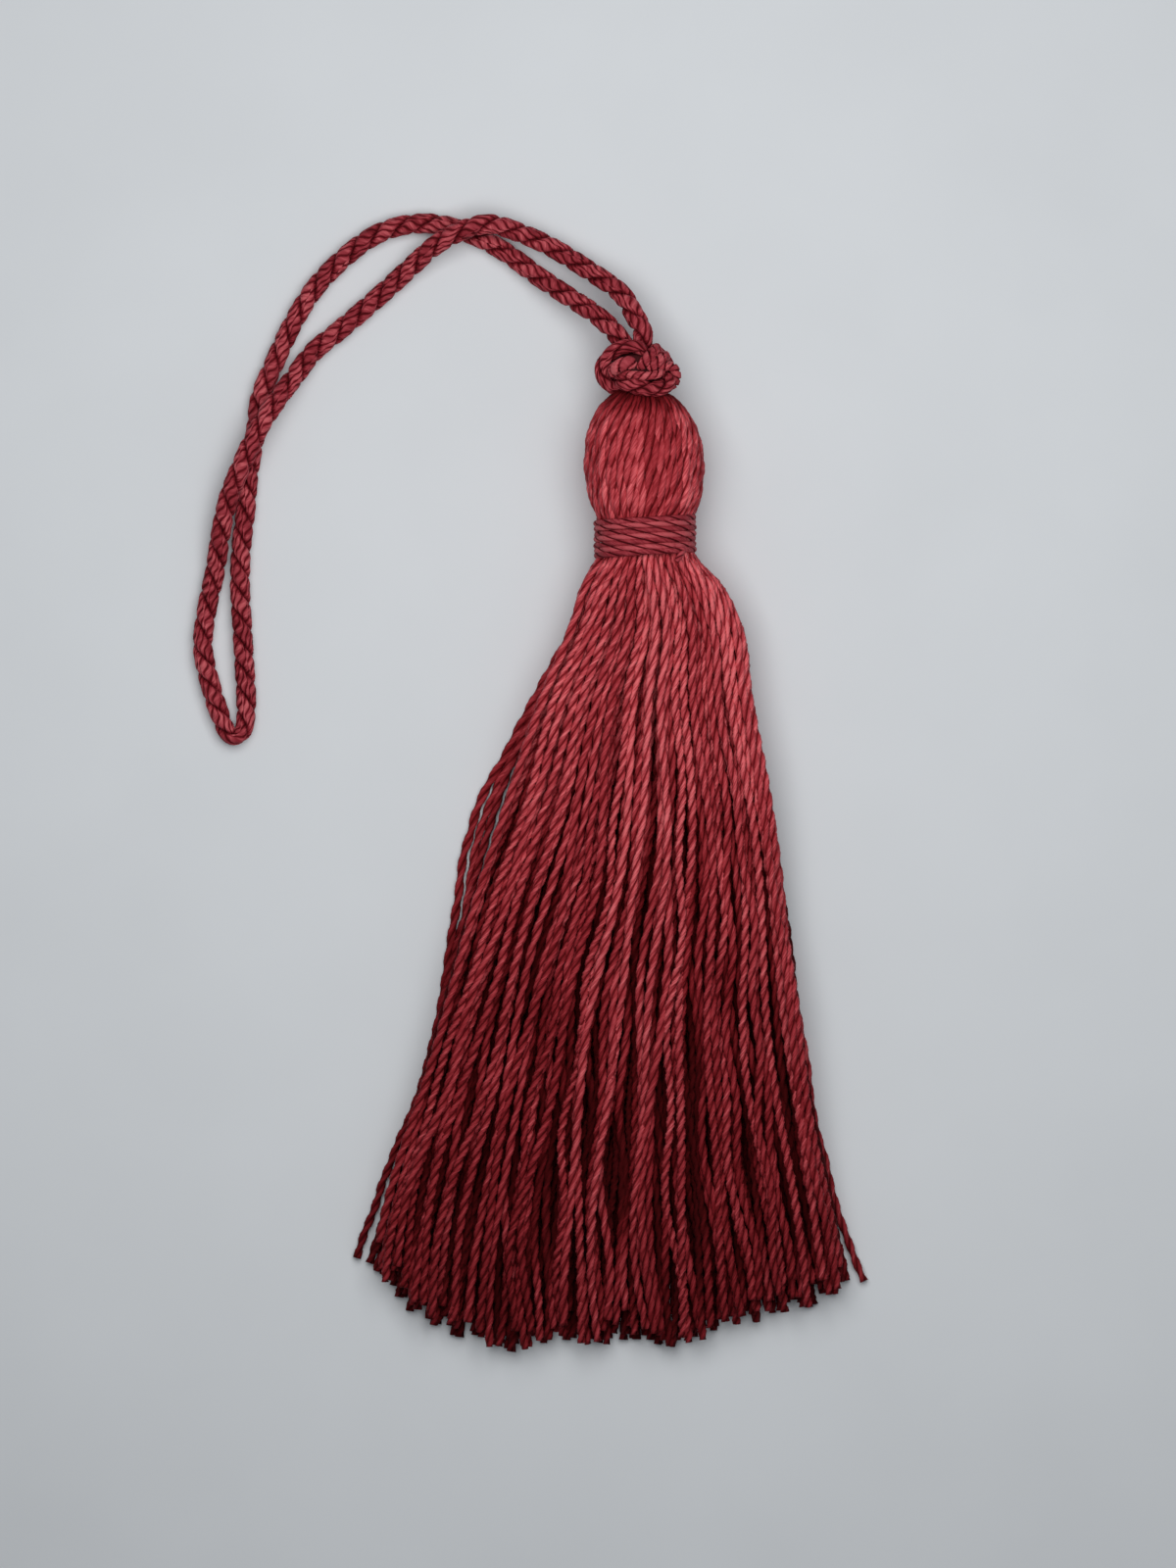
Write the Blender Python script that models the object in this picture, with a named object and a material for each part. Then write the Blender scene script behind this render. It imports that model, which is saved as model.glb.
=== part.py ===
"""A yarn tassel lying on a surface: ridged head, wound neck, knot, hanging loop and a skirt of strands.

The tassel lies along Y with its knot towards +Y, and the surface is z = 0. The origin is where the head rests.
Lengths in the tables are millimetres.
"""

import bpy
import numpy as np

MM = 0.001

# The hanging cord: an oval as long and short as its two plies, which turn once in each lay length
CORD_LONG_RADIUS = 0.88
CORD_SHORT_RADIUS = 0.64
CORD_LAY_LENGTH = 4.7
CORD_STEPS_PER_TURN = 8
CORD_SIDES = 6

# Head and neck
HEAD_RIDGES = 44
RIDGE_HEIGHT = 0.16
NECK_RIDGE_HEIGHT = 0.08
NECK_AXIS_Z = 4.7
NECK_RADIUS = 3.6

# Binding
BINDING_TURNS = 7
BINDING_LENGTH = 3.4
BINDING_MIDDLE_Y = -6.7
BINDING_INNER_RADIUS = 3.95
BINDING_OUTER_RADIUS = 4.5
BINDING_GROOVE = 0.2
BINDING_TILT = 0.045
BINDING_SIDES = 24

# Skirt: strands in rings through the neck, from the outermost in, and a strand's radius and the least
# distance between two strands as shares of their pitch
STRAND_RINGS = (38, 32, 26, 20, 15, 10, 5, 1)
STRAND_SIZE = 0.44
LEAST_SPACING = 0.79

# The share of the skirt's width that a strand wanders by and its slower waves
WANDER = 0.022
WAVE = 0.012
WAVES = 1.3

# Spacing the strands: rounds in all and rounds that only part them. In each round a strand is drawn into a
# fair line, to its own place and height, and away from strands that are nearer than the pitch
SPACING_ROUNDS = 360
PARTING_ROUNDS = 90
FAIRING = 0.2
RECALL = 0.1
HEIGHT_RECALL = 0.04
SETTLING = 0.002
PARTING = 0.25
LARGEST_STEP = 0.12

# Each row of the skirt: y, left edge x, right edge x, pile height, underside z, evenness, strand pitch
SKIRT_ROWS = np.array((
    (-9.0, -4.4, 4.7, 7.8, 0.80, 0.00, 0.60),
    (-10.8, -5.45, 6.7, 7.6, 0.55, 0.05, 0.63),
    (-14.5, -6.65, 8.5, 6.8, 0.10, 0.22, 0.68),
    (-21.0, -10.05, 9.5, 5.9, 0.0, 0.48, 0.74),
    (-31.0, -14.9, 11.3, 4.9, 0.0, 0.72, 0.77),
    (-42.0, -17.3, 12.9, 4.3, 0.0, 0.88, 0.78),
    (-55.0, -19.7, 14.5, 3.7, 0.0, 1.00, 0.78),
    (-67.0, -24.5, 17.5, 3.1, 0.0, 1.00, 0.78),
    (-79.0, -26.5, 21.2, 2.4, 0.0, 1.00, 0.78),
))

# Where the strands end along the fan: x, y
TIP_LINE = np.array((
    (-26.5, -70.6), (-25.2, -71.3), (-22.4, -74.3), (-19.5, -76.5), (-15.0, -77.8), (-10.7, -78.7),
    (-7.7, -77.8), (3.6, -78.2), (7.3, -76.7), (12.3, -75.2), (16.4, -74.6), (17.9, -73.0), (21.2, -72.4),
))
TIP_SPREAD = 2.4

# Head and neck profile: y, half width, middle x, half height, middle z
HEAD_ROWS = (
    (4.9, 2.7, -0.35, 2.5, 4.9),
    (4.35, 4.0, -0.3, 3.8, 4.9),
    (2.6, 5.0, -0.2, 4.75, 4.85),
    (0.9, 5.3, -0.1, 5.05, 4.85),
    (-1.2, 5.35, -0.05, 5.1, 4.85),
    (-3.2, 5.05, 0.0, 4.8, 4.8),
    (-4.25, 4.5, 0.0, 4.3, 4.7),
    (-4.65, NECK_RADIUS, 0.0, NECK_RADIUS, NECK_AXIS_Z),
    (-8.75, NECK_RADIUS, 0.0, NECK_RADIUS, NECK_AXIS_Z),
    (-9.35, 4.75, 0.2, 3.95, NECK_AXIS_Z),
)

# The hanging loop's route from the knot along its upper leg, around its end and back along its lower leg:
# x, y, z
LOOP_ROUTE = (
    (-0.2, 11.3, 4.9), (-0.9, 12.7, 4.5), (-2.2, 14.8, 3.5), (-5.1, 16.9, 2.4), (-8.5, 19.0, 1.8),
    (-11.5, 20.3, 2.1), (-13.8, 20.9, 2.6), (-16.0, 20.4, 2.9), (-18.6, 19.0, 2.3), (-20.9, 17.0, 1.3),
    (-23.3, 14.8, 0.95), (-27.0, 11.6, 0.92), (-29.4, 9.6, 1.0), (-31.2, 7.2, 1.7), (-32.6, 5.3, 2.5),
    (-34.2, 2.8, 2.95), (-35.8, -0.6, 2.8), (-36.9, -3.4, 2.3), (-37.6, -6.6, 1.8), (-38.1, -9.8, 1.1),
    (-38.8, -13.0, 0.92), (-39.2, -16.5, 0.92), (-38.5, -20.0, 0.92), (-37.55, -22.9, 0.92),
    (-36.9, -24.25, 0.92), (-36.1, -24.45, 0.92), (-35.5, -23.6, 0.92), (-35.35, -21.3, 0.92),
    (-35.5, -18.3, 0.92), (-35.7, -14.8, 0.92),
    (-35.9, -11.3, 0.92), (-35.8, -7.8, 0.92), (-35.4, -4.3, 0.92), (-35.1, -0.9, 0.92), (-34.5, 2.6, 0.92),
    (-34.1, 5.6, 0.92), (-33.0, 8.3, 0.92), (-31.4, 11.8, 0.92), (-29.6, 14.8, 0.92), (-27.6, 17.1, 0.92),
    (-25.0, 19.3, 0.92), (-22.7, 20.5, 0.92), (-20.2, 21.0, 0.92), (-17.6, 20.8, 0.92), (-14.6, 19.7, 0.92),
    (-12.0, 18.2, 1.0), (-9.6, 16.4, 1.5), (-7.1, 14.7, 2.6), (-4.4, 12.9, 3.8), (-2.7, 11.3, 4.7),
)
LOOP_END_THINNING = 0.14
LOOP_END_REACH = 3.0

# The knot's cord as arcs over its front. Each arc: radius, then x, y, z of its points
KNOT_MIDDLE = (-0.65, 8.0, 4.95)
KNOT_CORE = (2.7, 1.75, 1.75)
KNOT_CORE_ROWS = 7
KNOT_CORE_SIDES = 10
KNOT_CORE_OPENING = 0.42
KNOT_CORD_SIDES = 7
KNOT_END_TAPER = 0.7
KNOT_RINGS_PER_POINT = 1.3
KNOT_ARCS = (
    (0.62, ((-2.1, 6.1, 4.6), (-2.95, 6.4, 4.5), (-3.55, 6.9, 4.6), (-3.85, 7.6, 4.8), (-3.8, 8.35, 5.1),
            (-3.3, 9.1, 5.4), (-2.5, 9.75, 5.6), (-1.55, 9.98, 5.7), (-0.7, 9.93, 5.8), (0.0, 9.6, 5.7))),
    (0.62, ((-2.75, 7.5, 5.4), (-2.6, 8.0, 6.1), (-2.2, 8.4, 6.5), (-1.6, 8.65, 6.7), (-1.0, 8.6, 6.5))),
    (0.47, ((-0.35, 8.15, 6.3), (0.2, 8.95, 6.7), (0.6, 9.5, 6.4), (0.9, 9.85, 5.7), (0.85, 9.75, 5.1))),
    (0.46, ((0.5, 8.05, 6.4), (1.1, 8.65, 6.6), (1.5, 9.0, 6.2), (1.75, 9.15, 5.5), (1.65, 9.0, 4.9))),
    (0.42, ((1.35, 8.0, 6.2), (1.95, 8.3, 6.1), (2.5, 8.1, 5.8), (2.76, 7.5, 5.5), (2.65, 6.9, 5.2),
            (2.3, 6.45, 4.8))),
    (0.38, ((-1.9, 7.45, 6.3), (-0.9, 7.4, 6.8), (0.05, 7.35, 7.0), (0.9, 7.45, 6.8), (1.5, 7.8, 6.4))),
    (0.68, ((-2.3, 7.2, 5.9), (-1.85, 6.75, 6.3), (-1.0, 6.42, 6.6), (0.0, 6.2, 6.7), (0.9, 6.15, 6.5),
            (1.7, 6.4, 6.1), (2.1, 6.95, 5.7), (1.95, 7.4, 5.5))),
)

# Colours of the dyed yarn
HANK_COLOR = (0.36, 0.055, 0.065, 1.0)
CORD_COLOR = (0.42, 0.075, 0.075, 1.0)
BINDING_COLOR = (0.40, 0.065, 0.075, 1.0)
YARN_ROUGHNESS = 0.55


def clear_scene():
    """Removes whatever the new file starts with."""
    for thing in list(bpy.data.objects):
        bpy.data.objects.remove(thing, do_unlink=True)


def yarn_material(name, color):
    """A matt dyed yarn with no metal in it."""
    material = bpy.data.materials.new(name)
    material.use_nodes = True
    shader = material.node_tree.nodes["Principled BSDF"]
    shader.inputs["Base Color"].default_value = color
    shader.inputs["Roughness"].default_value = YARN_ROUGHNESS
    shader.inputs["Metallic"].default_value = 0.0
    material.diffuse_color = color
    return material


def add_object(name, points, faces, material=None, smooth_angle=0.6):
    """An object from points in millimetres."""
    mesh = bpy.data.meshes.new(name)
    mesh.from_pydata((np.asarray(points) * MM).tolist(), [], faces)
    mesh.shade_smooth()
    mesh.set_sharp_from_angle(angle=smooth_angle)
    mesh.update()
    thing = bpy.data.objects.new(name, mesh)
    bpy.context.scene.collection.objects.link(thing)
    if material:
        mesh.materials.append(material)
    return thing


def as_guide(thing):
    """Keeps a shape out of the finished model, as a guide for a Boolean."""
    thing.hide_render = True
    thing.display_type = "WIRE"
    return thing


def unite(thing, guide, crossing=False):
    """Fuses the guide's closed shapes into the object."""
    union = thing.modifiers.new("fused " + guide.name, "BOOLEAN")
    union.operation = "UNION"
    union.solver = "EXACT"
    union.use_self = crossing
    union.object = as_guide(guide)


def smooth_route(points, count):
    """Points evenly spaced along the cubic curve through the given points."""
    route = np.asarray(points, float)
    padded = np.concatenate([2 * route[:1] - route[1:2], route, 2 * route[-1:] - route[-2:-1]])
    fine = []
    for before, start, end, after in zip(padded, padded[1:], padded[2:], padded[3:]):
        t = np.linspace(0, 1, 24, endpoint=False)[:, None]
        fine.append(0.5 * (2 * start + (end - before) * t + (2 * before - 5 * start + 4 * end - after) * t ** 2
                           + (3 * start - before - 3 * end + after) * t ** 3))
    fine = np.concatenate(fine + [route[-1:]])
    along = np.concatenate([[0], np.cumsum(np.linalg.norm(np.diff(fine, axis=0), axis=1))])
    wanted = np.linspace(0, along[-1], count)
    return np.stack([np.interp(wanted, along, fine[:, axis]) for axis in range(3)], 1), along[-1]


def carried_frames(route):
    """A side and an upward direction at each point, carried along the route without twisting."""
    forward = np.gradient(route, axis=0)
    forward /= np.linalg.norm(forward, axis=1, keepdims=True)
    side = np.cross(forward[0], (0.0, 0.0, 1.0))
    sides = []
    for direction in forward:
        side = side - direction * side.dot(direction)
        side /= np.linalg.norm(side)
        sides.append(side)
    sides = np.array(sides)
    return sides, np.cross(forward, sides)


def tube(route, radii, sides, turns=None, flatness=1.0, first=0):
    """Points and faces of a closed tube. A section may be an oval that turns along the route."""
    side, up = carried_frames(route)
    angle = np.arange(sides) / sides * 2 * np.pi
    radius = 1 - (1 - flatness) * np.sin(angle) ** 2
    spin = np.zeros(len(route)) if turns is None else np.asarray(turns)
    whole = angle[None] + spin[:, None]
    reach = radius[None] * np.asarray(radii)[:, None]
    points = (route[:, None] + (reach * np.cos(whole))[..., None] * side[:, None]
              + (reach * np.sin(whole))[..., None] * up[:, None])
    return points.reshape(-1, 3), ring_faces(len(route), sides, first)


def ring_faces(rings, sides, first=0):
    """Faces between rings of points, with both ends closed."""
    faces = []
    for ring in range(rings - 1):
        for side in range(sides):
            near = first + ring * sides + side
            next_near = first + ring * sides + (side + 1) % sides
            faces.append((near, next_near, next_near + sides, near + sides))
    faces.append(tuple(first + side for side in reversed(range(sides))))
    faces.append(tuple(first + (rings - 1) * sides + side for side in range(sides)))
    return faces


def strand_places():
    """Where each strand crosses the unit disc of the neck: rings of strands, each ring turned half a step."""
    places = []
    outermost = len(STRAND_RINGS) - 1
    for ring, count in enumerate(STRAND_RINGS):
        share = 1 - ring / outermost
        turn = (np.arange(count) + 0.5 * (ring % 2)) / count * 2 * np.pi
        places.append(np.stack([share * np.cos(turn), share * np.sin(turn)], 1))
    return np.concatenate(places)


def laid_strands():
    """x and z of each strand at each row of the skirt, fanned from the neck and kept about one pitch apart.

    The fan maps the neck's disc to each row's width and pile height. Strands that come too near, at a row or
    a third of the way between two rows, are then moved apart, a little in each round, and the rows beside it
    draw each one into a fair line. A strand that still crosses another is left out.
    """
    rng = np.random.default_rng(5)
    across, upward = strand_places().T[:, :, None]
    y, left, right, pile, floor, even, pitch = SKIRT_ROWS.T
    count = len(across)
    half_chord = np.sqrt(np.clip(1 - across ** 2, 0.02, 1))
    even_across = (np.arcsin(across) + across * half_chord) * 2 / np.pi
    even_upward = np.clip(upward / half_chord, -1, 1)
    fan_across = across * (1 - even) + even_across * even
    fan_upward = upward * (1 - even) + even_upward * even
    fall = (y[0] - y) / (y[0] - y[-1])
    wander = rng.normal(0, 1, (3, count, 1))
    fan_across = fan_across + WANDER * fall * wander[0]
    fan_across = fan_across + WAVE * np.sin(2 * np.pi * WAVES * fall + wander[2]) * wander[1]
    radius = pitch / 2
    wanted = (left + right) / 2 + np.clip(fan_across, -1, 1) * ((right - left) / 2 - radius)
    x = wanted.copy()
    wanted_z = floor + radius + (pile - 2 * radius) * (0.5 + 0.5 * fan_upward)
    z = wanted_z.copy()
    low, high = left + radius, right - radius
    thirds = np.linspace(0, len(y) - 1, 3 * (len(y) - 1) + 1)
    weights = np.clip(1 - np.abs(thirds[:, None] - np.arange(len(y))), 0, 1)
    pitch_there = weights @ pitch
    for turn in range(SPACING_ROUNDS):
        if turn < SPACING_ROUNDS - PARTING_ROUNDS:
            x[:, 1:-1] += FAIRING * (0.5 * (x[:, :-2] + x[:, 2:]) - x[:, 1:-1]
                                     - 0.5 * (wanted[:, :-2] + wanted[:, 2:]) + wanted[:, 1:-1])
            x[:, 1:] += RECALL * (wanted - x)[:, 1:]
            z[:, 1:] += HEIGHT_RECALL * (wanted_z - z)[:, 1:] - SETTLING
        apart_x = (x @ weights.T)[:, None] - (x @ weights.T)[None]
        apart_z = (z @ weights.T)[:, None] - (z @ weights.T)[None]
        apart = np.sqrt(apart_x ** 2 + apart_z ** 2) + 1e-9
        push = PARTING * np.clip(pitch_there - apart, 0, None) / apart
        x[:, 1:] += np.clip((push * apart_x).sum(1) @ weights, -LARGEST_STEP, LARGEST_STEP)[:, 1:]
        z[:, 1:] += np.clip((push * apart_z).sum(1) @ weights, -LARGEST_STEP, LARGEST_STEP)[:, 1:]
        x[:, 1:] = np.clip(x, low, high)[:, 1:]
        z[:, 1:] = np.maximum(z, floor + radius)[:, 1:]
    ends = np.interp(x[:, -1], TIP_LINE[:, 0], TIP_LINE[:, 1]) + TIP_SPREAD * rng.random(count) ** 2
    eighths = np.linspace(0, len(y) - 1, 8 * (len(y) - 1) + 1)
    weights = np.clip(1 - np.abs(eighths[:, None] - np.arange(len(y))), 0, 1)
    fine_x, fine_z = x @ weights.T, z @ weights.T
    apart = np.hypot(fine_x[:, None] - fine_x[None], fine_z[:, None] - fine_z[None]) / (weights @ pitch)
    nearest = apart.min(axis=2)
    clear = []
    for strand in range(count):
        if np.all(nearest[strand, clear] > LEAST_SPACING):
            clear.append(strand)
    return x[clear], z[clear], ends[clear]


def strand_solids():
    """Three-sided closed strands, flat side down, each ending at its own tip."""
    x, z, ends = laid_strands()
    y = SKIRT_ROWS[:, 0]
    pitch = SKIRT_ROWS[:, 6]
    points, faces = [], []
    angle = np.radians((90, 210, 330))
    for place, (strand_x, strand_z, end) in enumerate(zip(x, z, ends)):
        row_y = np.append(y[:-1], end)
        row_x = np.interp(-row_y, -y, strand_x)
        row_z = np.interp(-row_y, -y, strand_z)
        row_pitch = np.interp(-row_y, -y, pitch)
        size = STRAND_SIZE * row_pitch
        base_z = row_z - 0.5 * row_pitch + 0.5 * size
        ring = np.stack([
            row_x[:, None] + size[:, None] * np.cos(angle),
            np.repeat(row_y[:, None], 3, axis=1),
            base_z[:, None] + size[:, None] * np.sin(angle)], 2)
        faces += ring_faces(len(row_y), 3, first=3 * len(row_y) * place)
        points.append(ring.reshape(-1, 3))
    return np.concatenate(points), faces


def build_yarn_hank(material):
    """The folded yarn: a ridged round head, the neck inside the binding and the skirt's strands."""
    sides = 2 * HEAD_RIDGES
    angle = np.arange(sides) / sides * 2 * np.pi
    ridge = np.arange(sides) % 2
    points = []
    for y, half_width, middle_x, half_height, middle_z in HEAD_ROWS:
        on_head = y > BINDING_MIDDLE_Y and half_width > NECK_RADIUS + 0.5
        groove = ridge * (RIDGE_HEIGHT if on_head else NECK_RIDGE_HEIGHT)
        x = middle_x + (half_width - groove) * np.cos(angle)
        z = np.maximum(middle_z + (half_height - groove) * np.sin(angle), 0.0)
        points.append(np.stack([x, np.full(sides, y), z], 1))
    faces = ring_faces(len(HEAD_ROWS), sides)
    hank = add_object("yarn_hank", np.concatenate(points), faces, material)
    strand_points, strand_faces = strand_solids()
    unite(hank, add_object("strand_shapes", strand_points, strand_faces))
    return hank


def build_binding(material):
    """The wound thread as one ring with a ridge for each turn, tilted a little across the neck."""
    steps = 2 * BINDING_TURNS + 1
    along = np.linspace(0.5, -0.5, steps) * BINDING_LENGTH
    outer = np.where(np.arange(steps) % 2 == 1, BINDING_OUTER_RADIUS, BINDING_OUTER_RADIUS - BINDING_GROOVE)
    profile = list(zip(along, outer)) + [(along[-1], BINDING_INNER_RADIUS), (along[0], BINDING_INNER_RADIUS)]
    angle = np.arange(BINDING_SIDES) / BINDING_SIDES * 2 * np.pi
    points, faces = [], []
    for y, radius in profile:
        x = radius * np.cos(angle)
        points.append(np.stack([
            x, BINDING_MIDDLE_Y + y + BINDING_TILT * x, NECK_AXIS_Z + radius * np.sin(angle)], 1))
    for row in range(len(profile)):
        after = (row + 1) % len(profile)
        for side in range(BINDING_SIDES):
            beside = (side + 1) % BINDING_SIDES
            faces.append((row * BINDING_SIDES + side, row * BINDING_SIDES + beside,
                          after * BINDING_SIDES + beside, after * BINDING_SIDES + side))
    return add_object("neck_binding", np.concatenate(points), faces, material)


def knot_core():
    """A rounded body that fills the knot between its cords."""
    latitude = np.linspace(-1, 1, KNOT_CORE_ROWS) * KNOT_CORE_OPENING * np.pi
    angle = np.arange(KNOT_CORE_SIDES) / KNOT_CORE_SIDES * 2 * np.pi
    reach = np.cos(latitude)[:, None]
    height = np.sin(latitude)[:, None] + 0 * angle
    points = np.stack([reach * np.cos(angle), height, reach * -np.sin(angle)], 2).reshape(-1, 3)
    faces = ring_faces(KNOT_CORE_ROWS, KNOT_CORE_SIDES)
    return np.asarray(KNOT_MIDDLE) + points * np.asarray(KNOT_CORE), faces


def build_knot(material):
    """The knot: cords over its front, the same cords turned half around on its back, and a filled middle."""
    points, faces = [], []
    count = 0
    middle = np.asarray(KNOT_MIDDLE)
    for facing in (1, -1):
        for radius, arc in KNOT_ARCS:
            turned = middle + (np.asarray(arc) - middle) * (facing, 1, facing)
            route = smooth_route(turned, round(KNOT_RINGS_PER_POINT * len(arc)))[0]
            ends = np.array([KNOT_END_TAPER] + [1.0] * (len(route) - 2) + [KNOT_END_TAPER])
            arc_points, arc_faces = tube(route, radius * ends, KNOT_CORD_SIDES, first=count)
            points.append(arc_points)
            faces += arc_faces
            count += len(arc_points)
    core_points, core_faces = knot_core()
    knot = add_object("top_knot", core_points, core_faces, material, smooth_angle=0.9)
    unite(knot, add_object("knot_cords", np.concatenate(points), faces), crossing=True)
    return knot


def build_loop(material):
    """The hanging cord: an oval section that turns left-handed, as the rope's two plies do."""
    length = smooth_route(LOOP_ROUTE, 2)[1]
    rings = round(length / CORD_LAY_LENGTH * CORD_STEPS_PER_TURN)
    route, length = smooth_route(LOOP_ROUTE, rings)
    lowest = np.array(LOOP_ROUTE)[np.argmin(np.array(LOOP_ROUTE)[:, 1])]
    near_end = np.clip(1 - np.linalg.norm(route - lowest, axis=1) / LOOP_END_REACH, 0, 1)
    radii = CORD_LONG_RADIUS * (1 - LOOP_END_THINNING * near_end)
    turns = np.linspace(0, -length / CORD_LAY_LENGTH, rings) * 2 * np.pi
    flatness = CORD_SHORT_RADIUS / CORD_LONG_RADIUS
    points, faces = tube(route, radii, CORD_SIDES, turns, flatness)
    return add_object("hanging_loop", points, faces, material, smooth_angle=1.2)


def main():
    clear_scene()
    build_yarn_hank(yarn_material("hank_yarn", HANK_COLOR))
    build_binding(yarn_material("binding_thread", BINDING_COLOR))
    cord = yarn_material("cord_yarn", CORD_COLOR)
    build_knot(cord)
    build_loop(cord)


main()
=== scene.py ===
"""Looks of a yarn tassel: plied skirt strands, ridged head, wound neck, knot, hanging loop, floor and light.

Every yarn is one section carried along a path. Tables are in millimetres and the meshes in metres.
"""

import math

import bpy
import numpy as np
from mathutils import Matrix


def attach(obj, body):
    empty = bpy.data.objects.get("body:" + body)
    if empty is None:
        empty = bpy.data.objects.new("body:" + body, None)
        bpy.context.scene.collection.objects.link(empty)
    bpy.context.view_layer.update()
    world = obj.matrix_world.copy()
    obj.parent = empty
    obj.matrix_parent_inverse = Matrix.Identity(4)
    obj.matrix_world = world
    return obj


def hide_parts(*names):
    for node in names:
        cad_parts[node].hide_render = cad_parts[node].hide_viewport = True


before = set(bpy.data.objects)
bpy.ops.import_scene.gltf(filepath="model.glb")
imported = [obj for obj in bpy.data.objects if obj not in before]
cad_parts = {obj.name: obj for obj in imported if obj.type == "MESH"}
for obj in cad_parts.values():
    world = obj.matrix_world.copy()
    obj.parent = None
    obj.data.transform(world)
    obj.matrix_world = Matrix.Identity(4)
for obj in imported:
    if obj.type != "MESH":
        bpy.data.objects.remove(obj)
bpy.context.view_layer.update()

bl_info = {
    "name": "Yarn Tassel",
    "version": (1, 0, 0),
    "blender": (4, 5, 0),
    "location": "View3D > Sidebar > Tassel",
    "description": "Dresses a yarn tassel with plied strands, a wound neck, a knot and a hanging loop",
    "category": "Object",
}

MM = 0.001
TURN = 2 * math.pi
UPWARD = (0.0, 0.0, 1.0)
CURVE_STEPS = 24

# The skirt's strands as rings through the neck, from the outermost in, and side by side on the floor
STRAND_RINGS = (44, 38, 32, 26, 20, 14, 9, 4, 1)
FLOOR_STRANDS = 68
FLOOR_REACH = 0.985

# How strands are moved apart, with the shares of the way that they go in a round
SPACING_ROUNDS = 300
LOOSE_ROUNDS = 60  # the last ones, which don't pull a strand back to its own place
FAIR_SHARE = 0.2  # to a fair line
ACROSS_SHARE = 0.1  # back across
HEIGHT_SHARE = 0.04  # back in height
APART_SHARE = 0.25  # off a neighbour
LONGEST_MOVE = 0.12
LEAST_SPACING = 0.62  # between two that stay, in pitches

# How far strands stray from even places by the tips, steadily and in a wave, as shares of the half width
WANDER = 0.03
WANDER_WAVE = 0.014
WANDER_TURNS = 1.3

# Each row of the skirt: y, left edge x, right edge x, pile height, underside z, evenness, strand pitch
SKIRT_ROWS = np.array((
    (-9.0, -4.4, 4.7, 7.9, 0.80, 0.00, 0.54),
    (-10.8, -5.45, 6.5, 7.7, 0.55, 0.05, 0.57),
    (-14.5, -6.65, 8.5, 7.0, 0.10, 0.22, 0.63),
    (-21.0, -9.35, 9.5, 6.2, 0.0, 0.48, 0.70),
    (-31.0, -12.7, 11.3, 5.4, 0.0, 0.72, 0.75),
    (-42.0, -16.2, 12.9, 4.8, 0.0, 0.88, 0.77),
    (-55.0, -19.7, 14.5, 4.2, 0.0, 1.00, 0.78),
    (-67.0, -23.4, 16.8, 3.5, 0.0, 1.00, 0.78),
    (-79.0, -25.6, 18.6, 2.6, 0.0, 1.00, 0.78),
))

# Strands that leave the skirt's outline for a while, or end away from it: x, y, z
STRAY_STRANDS = (
    ((-3.3, -8.6, 3.0), (-4.9, -12.0, 1.6), (-6.3, -15.0, 0.9), (-8.3, -18.5, 0.6), (-9.6, -20.9, 0.5),
     (-11.1, -23.7, 0.5), (-12.4, -26.3, 0.48), (-13.9, -28.8, 0.48), (-14.9, -31.0, 0.47), (-15.5, -33.2, 0.47),
     (-16.0, -34.7, 0.47), (-16.3, -36.5, 0.47), (-16.55, -38.7, 0.47), (-16.9, -40.7, 0.47), (-17.2, -42.5, 0.47),
     (-18.0, -48.0, 0.47), (-19.3, -54.5, 0.47), (-21.3, -61.5, 0.47), (-24.4, -71.2, 0.47)),
    ((-3.1, -8.6, 3.4), (-4.5, -12.0, 1.9), (-5.8, -15.0, 1.2), (-7.5, -18.0, 0.9), (-8.9, -20.9, 0.8),
     (-10.5, -24.0, 0.7), (-11.8, -26.5, 0.6), (-12.8, -28.3, 0.5), (-13.5, -29.9, 0.48), (-14.2, -31.6, 0.48),
     (-14.8, -33.5, 0.48), (-15.2, -35.3, 0.5), (-15.6, -38.0, 0.6), (-16.3, -43.0, 0.9), (-17.6, -50.0, 1.0),
     (-19.6, -58.0, 0.9), (-22.6, -67.0, 0.7), (-23.8, -71.9, 0.5)),
    ((-3.5, -8.6, 2.6), (-6.4, -15.0, 0.9), (-9.4, -21.0, 0.6), (-13.0, -30.0, 0.6), (-16.4, -42.0, 0.6),
     (-18.4, -50.0, 0.5), (-19.7, -55.1, 0.48), (-20.7, -57.9, 0.47), (-21.8, -60.3, 0.47), (-22.6, -62.4, 0.47),
     (-23.3, -64.1, 0.47), (-23.7, -65.5, 0.47), (-24.2, -66.9, 0.47), (-24.9, -68.6, 0.47), (-25.55, -70.75, 0.47)),
    ((3.6, -8.6, 2.8), (6.9, -14.0, 1.2), (8.6, -21.0, 0.7), (10.8, -32.0, 0.6), (12.4, -42.0, 0.6),
     (13.7, -50.0, 0.5), (14.35, -53.4, 0.48), (14.7, -56.6, 0.47), (15.25, -59.6, 0.47), (15.9, -61.7, 0.47),
     (16.5, -64.4, 0.47), (17.2, -66.9, 0.47), (18.1, -69.4, 0.47), (18.8, -71.3, 0.47), (19.45, -72.8, 0.47)),
    ((3.4, -8.6, 3.0), (6.6, -14.0, 1.4), (8.4, -21.0, 0.9), (10.6, -32.0, 0.8), (12.2, -42.0, 0.8),
     (14.0, -54.0, 0.6), (15.2, -60.5, 0.5), (15.9, -64.4, 0.48), (16.6, -67.2, 0.47), (17.2, -69.7, 0.47),
     (17.65, -71.5, 0.47), (17.85, -72.75, 0.47)),
)

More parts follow.
